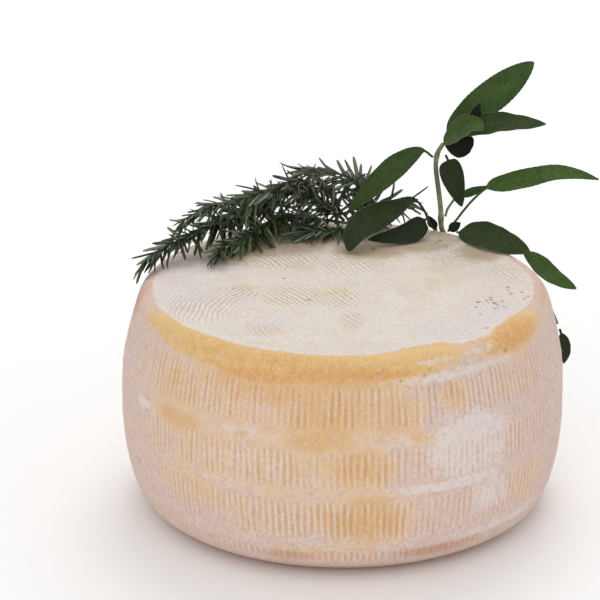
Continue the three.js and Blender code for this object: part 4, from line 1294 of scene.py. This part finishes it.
def needle_material(rosemary):
    """Rosemary needle: leathery, with rolled edges. It gives the eye a dark, half-glossy green over a pale
    felted underside."""
    material, tree = new_finish("leathery_rosemary_needle")
    node = partial(add_node, tree)
    below, own, bark = (
        node("ShaderNodeAttribute", output="Fac", attribute_name=mask)
        for mask in ("underside", "own_tint", "bark")
    )
    coords = node("ShaderNodeTexCoord", output="Object")
    grain = node(NOISE, {"Vector": coords, "Scale": 1 / (NEEDLE_GRAIN * MM), "Detail": 3.0}, output="Fac")
    colour = layered(tree, tuple(rosemary.green), (
        (own, 0.45, 1.0, 0.9, tuple(rosemary.fresh)),
        (grain, 0.5, 0.7, 0.25, tuple(rosemary.fresh)),
        # The pale underside is the needles' own felt and partly a painted highlight for the glints along
        # them.
        (below, 0.3, 1.0, 0.68, tuple(rosemary.pale)),
        (bark, 0.0, 1.0, 1.0, tuple(rosemary.bark)),
    ))
    bump = node("ShaderNodeBump", {"Height": grain, "Strength": 0.4, "Distance": 0.2 * MM})
    shader = node("ShaderNodeBsdfPrincipled", {
        "Base Color": colour, "Roughness": 0.34, "Normal": bump, "IOR": 1.45, "Specular IOR Level": 0.5,
    })
    node("ShaderNodeOutputMaterial", {"Surface": shader})
    return material


RANDOM = "FunctionNodeRandomValue"
STORE = "GeometryNodeStoreNamedAttribute"
STORED = "GeometryNodeInputNamedAttribute"
COMBINE = "ShaderNodeCombineXYZ"
SEPARATE = "ShaderNodeSeparateXYZ"
SPRIG_INPUTS = (
    ("Needles", "Collection"), ("Spacing", "Float"), ("Needle Length", "Float"), ("Stem Radius", "Float"),
    ("Bare Share", "Float"), ("Spread", "Float"), ("Rest Height", "Float"), ("Rest Reach", "Float"),
    ("Seed", "Int"), ("Material", "Material"),
)
# What each needle draws, and from what range. Angles are in radians, and aside, forward and lift are shifts
# of the way it points.
NEEDLE_DRAWS = (
    ("turn", -0.6, 0.6), ("spread", -0.38, 0.42), ("size", 0.5, 1.3), ("lift", -0.8, 0.25),
    ("tint", 0.0, 1.0), ("kind", 0.0, 2.99), ("aside", -0.16, 0.16), ("forward", -0.8, 0.1),
)
MISSING_AT_TIP = 0.38  # share of the needles that have gone at the tip
# The needles close up and get shorter only late along the sprig: the power of that, by what angle, and by
# what share of their length.
LATE_POWER = 3.0
CLOSED_AT_TIP = 0.6
SHORTER_AT_TIP = 0.18
UNDERSIDE_STRAY = 4.0  # how much more the undersides stray than the needles themselves
STEM_TAPER = 0.45
STEM_TUBE_SIDES = 8
GREEN_BARK_FROM = 0.7  # from this share of the stem its bark is as green as it gets


def needle_points(node, given, stem):
    """The points along a stem, and those of them that bear a needle: none on its bare part, and fewer and
    fewer towards its tip. Each keeps its place in the row, and its share of the way from the root."""
    dots = node("GeometryNodeCurveToPoints", {"Curve": stem, "Length": given["Spacing"]}, mode="LENGTH")
    dots = dots.node.outputs
    points = dots["Points"]
    count = node("GeometryNodeAttributeDomainSize", {0: points}, output="Point Count", component="POINTCLOUD")
    index = node("GeometryNodeInputIndex")
    share = node(MATH, {0: index, 1: count}, operation="DIVIDE")
    for name, value in (("share", share), ("place", index)):
        points = node(STORE, {"Geometry": points, "Name": name, "Value": value})
    past = node(MATH, {0: share, 1: given["Bare Share"]}, operation="SUBTRACT")
    chance = node(RANDOM, {2: 0.0, 3: 1.0, "ID": index, "Seed": given["Seed"]}, output=1)
    spare = node(MATH, {0: share, 1: -MISSING_AT_TIP, 2: chance}, operation="MULTIPLY_ADD")
    least = node(MATH, {0: past, 1: spare}, operation="MINIMUM")
    missing = node(MATH, {0: least, 1: 0.0}, operation="LESS_THAN")
    leafy = node("GeometryNodeDeleteGeometry", {"Geometry": points, "Selection": missing})
    return dots, leafy


def needle_pointing(node, given, dots, place, late, draws):
    """The way a needle points, and how far it strays. A pair stands opposite, the next pair crosses it, and
    all of them close up towards the tip of the sprig."""
    pair = node(MATH, {0: place, 1: 2.0}, operation="DIVIDE")
    pair = node(MATH, {0: pair}, operation="FLOOR")
    half_turns = node(MATH, {0: place, 1: math.pi}, operation="MULTIPLY")
    quarter_turns = node(MATH, {0: pair, 1: math.pi / 2, 2: half_turns}, operation="MULTIPLY_ADD")
    turn = node(MATH, {0: quarter_turns, 1: draws["turn"]}, operation="ADD")
    closed = node(MATH, {0: late, 1: -CLOSED_AT_TIP, 2: draws["spread"]}, operation="MULTIPLY_ADD")
    spread = node(MATH, {0: given["Spread"], 1: closed}, operation="ADD")

    def swung(one, other, angle):
        """What one way becomes when it swings by an angle towards another."""
        cosine, sine = (node(MATH, {0: angle}, operation=kind) for kind in ("COSINE", "SINE"))
        kept = node(VECTOR_MATH, {0: one, "Scale": cosine}, operation="SCALE")
        gained = node(VECTOR_MATH, {0: other, "Scale": sine}, operation="SCALE")
        return node(VECTOR_MATH, {0: kept, 1: gained}, operation="ADD")

    third = node(VECTOR_MATH, {0: dots["Tangent"], 1: dots["Normal"]}, operation="CROSS_PRODUCT")
    outward = swung(dots["Normal"], third, turn)
    pointing = swung(dots["Tangent"], outward, spread)
    stray = node(COMBINE, {0: draws["aside"], 1: draws["forward"], 2: draws["lift"]})
    pointing = node(VECTOR_MATH, {0: pointing, 1: stray}, operation="ADD")
    pointing = node(VECTOR_MATH, {0: pointing}, operation="NORMALIZE")
    return pointing, stray


def needle_rotation(node, given, pointing, stray, tangent, long, kind):
    """How a needle is turned. If its tip would go into the cheese, it is turned up until it lies on it."""
    bend = node(MATH, {0: kind, 1: BEND_STEP, 2: LEAST_BEND}, operation="MULTIPLY_ADD")
    bow = node(MATH, {0: bend, 1: long}, operation="MULTIPLY")
    bow = node(COMBINE, {1: bow})
    reach = node(VECTOR_MATH, {0: pointing, "Scale": long}, operation="SCALE")
    here = node("GeometryNodeInputPosition")
    tip = node(VECTOR_MATH, {0: here, 1: reach}, operation="ADD")
    here_z, reach_z = (node(SEPARATE, {0: vector}, output="Z") for vector in (here, reach))
    flat_tip, flat_reach = (
        node(VECTOR_MATH, {0: vector, 1: (1, 1, 0)}, operation="MULTIPLY") for vector in (tip, reach)
    )
    flat_way = node(VECTOR_MATH, {0: flat_reach}, operation="NORMALIZE")
    out = node(VECTOR_MATH, {0: flat_tip}, output="Value", operation="LENGTH")
    over_face = node(MATH, {0: out, 1: given["Rest Reach"]}, operation="LESS_THAN")
    # The underside of each needle looks back down the stem, more or less.
    back = node(VECTOR_MATH, {0: tangent, "Scale": -1.0}, operation="SCALE")
    twist = node(VECTOR_MATH, {0: stray, "Scale": UNDERSIDE_STRAY}, operation="SCALE")
    back = node(VECTOR_MATH, {0: back, 1: twist}, operation="ADD")
    square_long = node(MATH, {0: long, 1: long}, operation="MULTIPLY")
    allowed = node(MATH, {0: given["Rest Height"], 1: here_z}, operation="SUBTRACT")
    lowest = allowed
    # How low the bow hangs is known only once the needle is turned, so each pass turns it again for that.
    for _ in range(REST_PASSES):
        raised = node(MATH, {0: reach_z, 1: lowest}, operation="MAXIMUM")
        rise = node("ShaderNodeMix", {0: over_face, 2: reach_z, 3: raised})
        square = node(MATH, {0: rise, 1: rise}, operation="MULTIPLY")
        left = node(MATH, {0: square_long, 1: square}, operation="SUBTRACT")
        left = node(MATH, {0: left, 1: 0.0}, operation="MAXIMUM")
        level = node(MATH, {0: left}, operation="SQRT")
        across = node(VECTOR_MATH, {0: flat_way, "Scale": level}, operation="SCALE")
        up = node(COMBINE, {2: rise})
        laid = node(VECTOR_MATH, {0: across, 1: up}, operation="ADD")
        aimed = node("FunctionNodeAlignRotationToVector", {"Vector": laid}, axis="Z")
        rolled = node(
            "FunctionNodeAlignRotationToVector", {"Rotation": aimed, "Vector": back}, axis="Y", pivot_axis="Z"
        )
        hanging = node("FunctionNodeRotateVector", {"Vector": bow, "Rotation": rolled})
        hanging = node(SEPARATE, {0: hanging}, output="Z")
        lowest = node(MATH, {0: allowed, 1: hanging}, operation="SUBTRACT")
    return rolled


def stem_tube(node, given, stem):
    """The stem itself. It tapers from its root, and its bark turns from brown to green."""
    along = node("GeometryNodeSplineParameter", output="Factor")
    thinner = node(MATH, {0: along, 1: -STEM_TAPER, 2: 1.0}, operation="MULTIPLY_ADD")
    radius = node(MATH, {0: thinner, 1: given["Stem Radius"]}, operation="MULTIPLY")
    brown = node(MAP_RANGE, {"Value": along, "From Max": GREEN_BARK_FROM, "To Min": 1.0, "To Max": 0.25})
    barked = node(STORE, {"Geometry": stem, "Name": "bark", "Value": brown})
    profile = node("GeometryNodeCurvePrimitiveCircle", {"Resolution": STEM_TUBE_SIDES, "Radius": 1.0})
    return node("GeometryNodeCurveToMesh", {
        "Curve": barked, "Profile Curve": profile, "Scale": radius, "Fill Caps": True,
    })


def sprig_tree():
    """Geometry Nodes: one needle after another along a stem, in crossed pairs that point outwards and
    forwards, kept off the cheese that they lie on, with the stem itself as a tube."""
    tree = bpy.data.node_groups.new("Needles along a stem", "GeometryNodeTree")
    tree.interface.new_socket("Geometry", in_out="INPUT", socket_type="NodeSocketGeometry")
    for label, kind in SPRIG_INPUTS:
        tree.interface.new_socket(label, in_out="INPUT", socket_type="NodeSocket" + kind)
    tree.interface.new_socket("Geometry", in_out="OUTPUT", socket_type="NodeSocketGeometry")
    node = partial(add_node, tree)
    given = node("NodeGroupInput").node.outputs
    stem = node("GeometryNodeMeshToCurve", {0: given["Geometry"]})
    dots, leafy = needle_points(node, given, stem)
    share, place = (node(STORED, {"Name": name}) for name in ("share", "place"))
    draws = {}
    for salt, (label, low, high) in enumerate(NEEDLE_DRAWS):
        seed = node(MATH, {0: given["Seed"], 1: float(salt)}, operation="ADD")
        draws[label] = node(RANDOM, {2: low, 3: high, "ID": place, "Seed": seed}, output=1)

    late = node(MATH, {0: share, 1: LATE_POWER}, operation="POWER")
    pointing, stray = needle_pointing(node, given, dots, place, late, draws)
    shorter = node(MATH, {0: late, 1: -SHORTER_AT_TIP, 2: 1.0}, operation="MULTIPLY_ADD")
    size = node(MATH, {0: draws["size"], 1: shorter}, operation="MULTIPLY")
    long = node(MATH, {0: size, 1: given["Needle Length"]}, operation="MULTIPLY")
    kind = node(MATH, {0: draws["kind"]}, operation="FLOOR")
    rotation = needle_rotation(node, given, pointing, stray, dots["Tangent"], long, kind)
    kinds = node("GeometryNodeCollectionInfo", {
        "Collection": given["Needles"], "Separate Children": True, "Reset Children": True,
    })
    grown = node("GeometryNodeInstanceOnPoints", {
        "Points": leafy, "Instance": kinds, "Pick Instance": True, "Instance Index": kind,
        "Rotation": rotation, "Scale": size,
    })
    tinted = node(STORE, {"Geometry": grown, "Name": "own_tint", "Value": draws["tint"]}, domain="INSTANCE")

    whole = node("GeometryNodeJoinGeometry", {0: tinted})
    tree.links.new(stem_tube(node, given, stem), whole.node.inputs[0])
    real = node("GeometryNodeRealizeInstances", {0: whole})
    dressed = node("GeometryNodeSetMaterial", {"Geometry": real, "Material": given["Material"]})
    smooth = node("GeometryNodeSetShadeSmooth", {0: dressed})
    node("NodeGroupOutput", {0: smooth})
    return tree


class CHEESE_OT_rosemary(bpy.types.Operator):
    """Grow the rosemary's needles along their stems"""

    bl_idname = "cheese.rosemary"
    bl_label = "Rosemary"

    def execute(self, context):
        rosemary = context.scene.cheese_rosemary
        wheel = context.scene.cheese_wheel
        material = needle_material(rosemary)
        kinds = bpy.data.collections.new("Needle kinds")
        for kind in range(NEEDLE_KINDS):
            points, faces, under = build_needle(rosemary, LEAST_BEND + BEND_STEP * kind)
            needle = make_piece("needle", points, faces, material, {"underside": under})
            context.scene.collection.objects.unlink(needle)
            kinds.objects.link(needle)
        tree = sprig_tree()
        ids = {item.name: item.identifier for item in tree.interface.items_tree if item.in_out == "INPUT"}
        for sprig in SPRIGS:
            reach = float(np.linalg.norm(np.diff(np.array(sprig["path"], float), axis=0), axis=1).sum())
            path, _ = smooth_path(sprig["path"], round(reach / SPRIG_STEP))
            mesh = bpy.data.meshes.new(sprig["name"])
            mesh.from_pydata((path * MM).tolist(), [(k, k + 1) for k in range(len(path) - 1)], [])
            piece = bpy.data.objects.new(sprig["name"] + "_needles", mesh)
            context.scene.collection.objects.link(piece)
            modifier = piece.modifiers.new("Needles", "NODES")
            modifier.node_group = tree
            inputs = {
                "Needles": kinds, "Spacing": rosemary.spacing, "Needle Length": rosemary.needle,
                "Stem Radius": rosemary.stem_radius, "Bare Share": sprig["bare"], "Spread": rosemary.spread,
                "Rest Height": wheel.height + REST_GAP * MM,
                "Rest Reach": wheel.radius - RIM_SET_IN * MM,
                "Seed": rosemary.seed + sprig["draw"], "Material": material,
            }
            for label, value in inputs.items():
                modifier[ids[label]] = value
            depsgraph = context.evaluated_depsgraph_get()
            grown = bpy.data.meshes.new_from_object(piece.evaluated_get(depsgraph), depsgraph=depsgraph)
            if not grown.polygons:
                raise RuntimeError("no needles grew on " + sprig["name"])
            piece.modifiers.remove(modifier)
            piece.data = grown
            bpy.data.meshes.remove(mesh)
            settle(piece, "needles", sprig["name"])
        for needle in list(kinds.objects):
            bpy.data.objects.remove(needle)
        bpy.data.collections.remove(kinds)
        return {"FINISHED"}


# ------------------------------------------------------------------ floor, light and camera

FLOOR_RADIUS = 6.0  # metres
FLOOR_SIDES = 64
CAMERA_PLACE = (0.0, -1.7205, 0.7759)  # metres
CAMERA_AIM = (-0.01407, 0.93629, -0.35249)
# Soft lights: name, place, size in metres, which setting gives the power.
LIGHTS = [
    ("soft_light_above", (0.15, 1.1, 1.75), 1.3, "key"),
    ("soft_light_front", (-0.3, -2.4, 1.3), 1.6, "fill"),
]


class CHEESE_OT_stage(bpy.types.Operator):
    """Lay the pale floor, hang the soft lights and place the camera"""

    bl_idname = "cheese.stage"
    bl_label = "Floor, light and camera"

    def execute(self, context):
        scene = context.scene
        stage = scene.cheese_stage
        angles = np.arange(FLOOR_SIDES) / FLOOR_SIDES * TURN
        rim = [(FLOOR_RADIUS * math.cos(a), FLOOR_RADIUS * math.sin(a), 0) for a in angles]
        mesh = bpy.data.meshes.new("floor")
        mesh.from_pydata(rim, [], [tuple(range(len(rim)))])
        material = bpy.data.materials.new("matt_pale_floor")
        material.use_nodes = True
        shader = material.node_tree.nodes["Principled BSDF"]
        shader.inputs["Base Color"].default_value = tuple(stage.floor)
        shader.inputs["Roughness"].default_value = 0.9
        mesh.materials.append(material)
        floor = bpy.data.objects.new("floor", mesh)
        scene.collection.objects.link(floor)

        for name, place, size, power in LIGHTS:
            light = bpy.data.lights.new(name, "AREA")
            light.shape = "DISK"
            light.size = size
            light.energy = getattr(stage, power)
            lamp = bpy.data.objects.new(name, light)
            lamp.location = place
            target = Vector((0, 0, wheel_middle(scene)))
            lamp.rotation_euler = (target - Vector(place)).to_track_quat("-Z", "Y").to_euler()
            scene.collection.objects.link(lamp)

        world = bpy.data.worlds.new("white surroundings")
        world.use_nodes = True
        sky = world.node_tree.nodes["Background"]
        sky.inputs["Color"].default_value = (1, 1, 1, 1)
        sky.inputs["Strength"].default_value = stage.sky
        scene.world = world
        scene.view_settings.view_transform = "Standard"

        data = bpy.data.cameras.new("camera")
        data.lens = stage.lens
        data.clip_start = 0.05
        data.clip_end = 50
        camera = bpy.data.objects.new("camera", data)
        camera.location = CAMERA_PLACE
        camera.rotation_euler = Vector(CAMERA_AIM).to_track_quat("-Z", "Y").to_euler()
        scene.collection.objects.link(camera)
        scene.camera = camera
        return {"FINISHED"}


def wheel_middle(scene):
    """Half the wheel's height, in metres."""
    return scene.cheese_wheel.height / 2


# ------------------------------------------------------------------ the add-on


class CHEESE_PT_panel(bpy.types.Panel):
    """Builds the cheese wheel, its herbs and its stage, one by one"""

    bl_idname = "CHEESE_PT_panel"
    bl_label = "Cheese Wheel"
    bl_space_type = "VIEW_3D"
    bl_region_type = "UI"
    bl_category = "Cheese"

    def draw(self, context):
        for group, names, operators in PANEL_ROWS:
            box = self.layout.box()
            for name in names:
                box.prop(getattr(context.scene, group), name)
            for operator in operators:
                box.operator(operator)


SETTINGS = {
    "cheese_wheel": CheeseWheelSettings,
    "cheese_sage": CheeseSageSettings,
    "cheese_rosemary": CheeseRosemarySettings,
    "cheese_stage": CheeseStageSettings,
}
PANEL_ROWS = [
    ("cheese_wheel",
     ("height", "radius", "belly", "ribs", "rib_depth", "rind", "crest", "groove", "honey", "ochre", "gold",
      "bloom", "rust", "cream", "damp"),
     ("cheese.wheel",)),
    ("cheese_sage", ("blade", "edge", "vein_depth", "leaf", "dark", "shade", "faded", "under", "stem"),
     ("cheese.sage_leaves", "cheese.sage_stems")),
    ("cheese_rosemary", ("needle", "width", "spacing", "spread", "seed", "green", "fresh", "pale", "bark"),
     ("cheese.rosemary",)),
    ("cheese_stage", ("floor", "key", "fill", "sky", "lens"), ("cheese.stage",)),
]
CLASSES = tuple(SETTINGS.values()) + (
    CHEESE_OT_wheel,
    CHEESE_OT_sage_leaves,
    CHEESE_OT_sage_stems,
    CHEESE_OT_rosemary,
    CHEESE_OT_stage,
    CHEESE_PT_panel,
)


def register():
    """Makes the settings, the operators and the panel known to Blender."""
    for each in CLASSES:
        bpy.utils.register_class(each)
    for name, group in SETTINGS.items():
        setattr(bpy.types.Scene, name, bpy.props.PointerProperty(type=group))


def unregister():
    """Takes them away again."""
    for name in SETTINGS:
        delattr(bpy.types.Scene, name)
    for each in reversed(CLASSES):
        bpy.utils.unregister_class(each)


def main():
    """Builds everything with the default settings."""
    register()
    bpy.ops.cheese.stage()
    bpy.ops.cheese.wheel()
    bpy.ops.cheese.sage_leaves()
    bpy.ops.cheese.sage_stems()
    bpy.ops.cheese.rosemary()


if __name__ == "__main__":
    main()
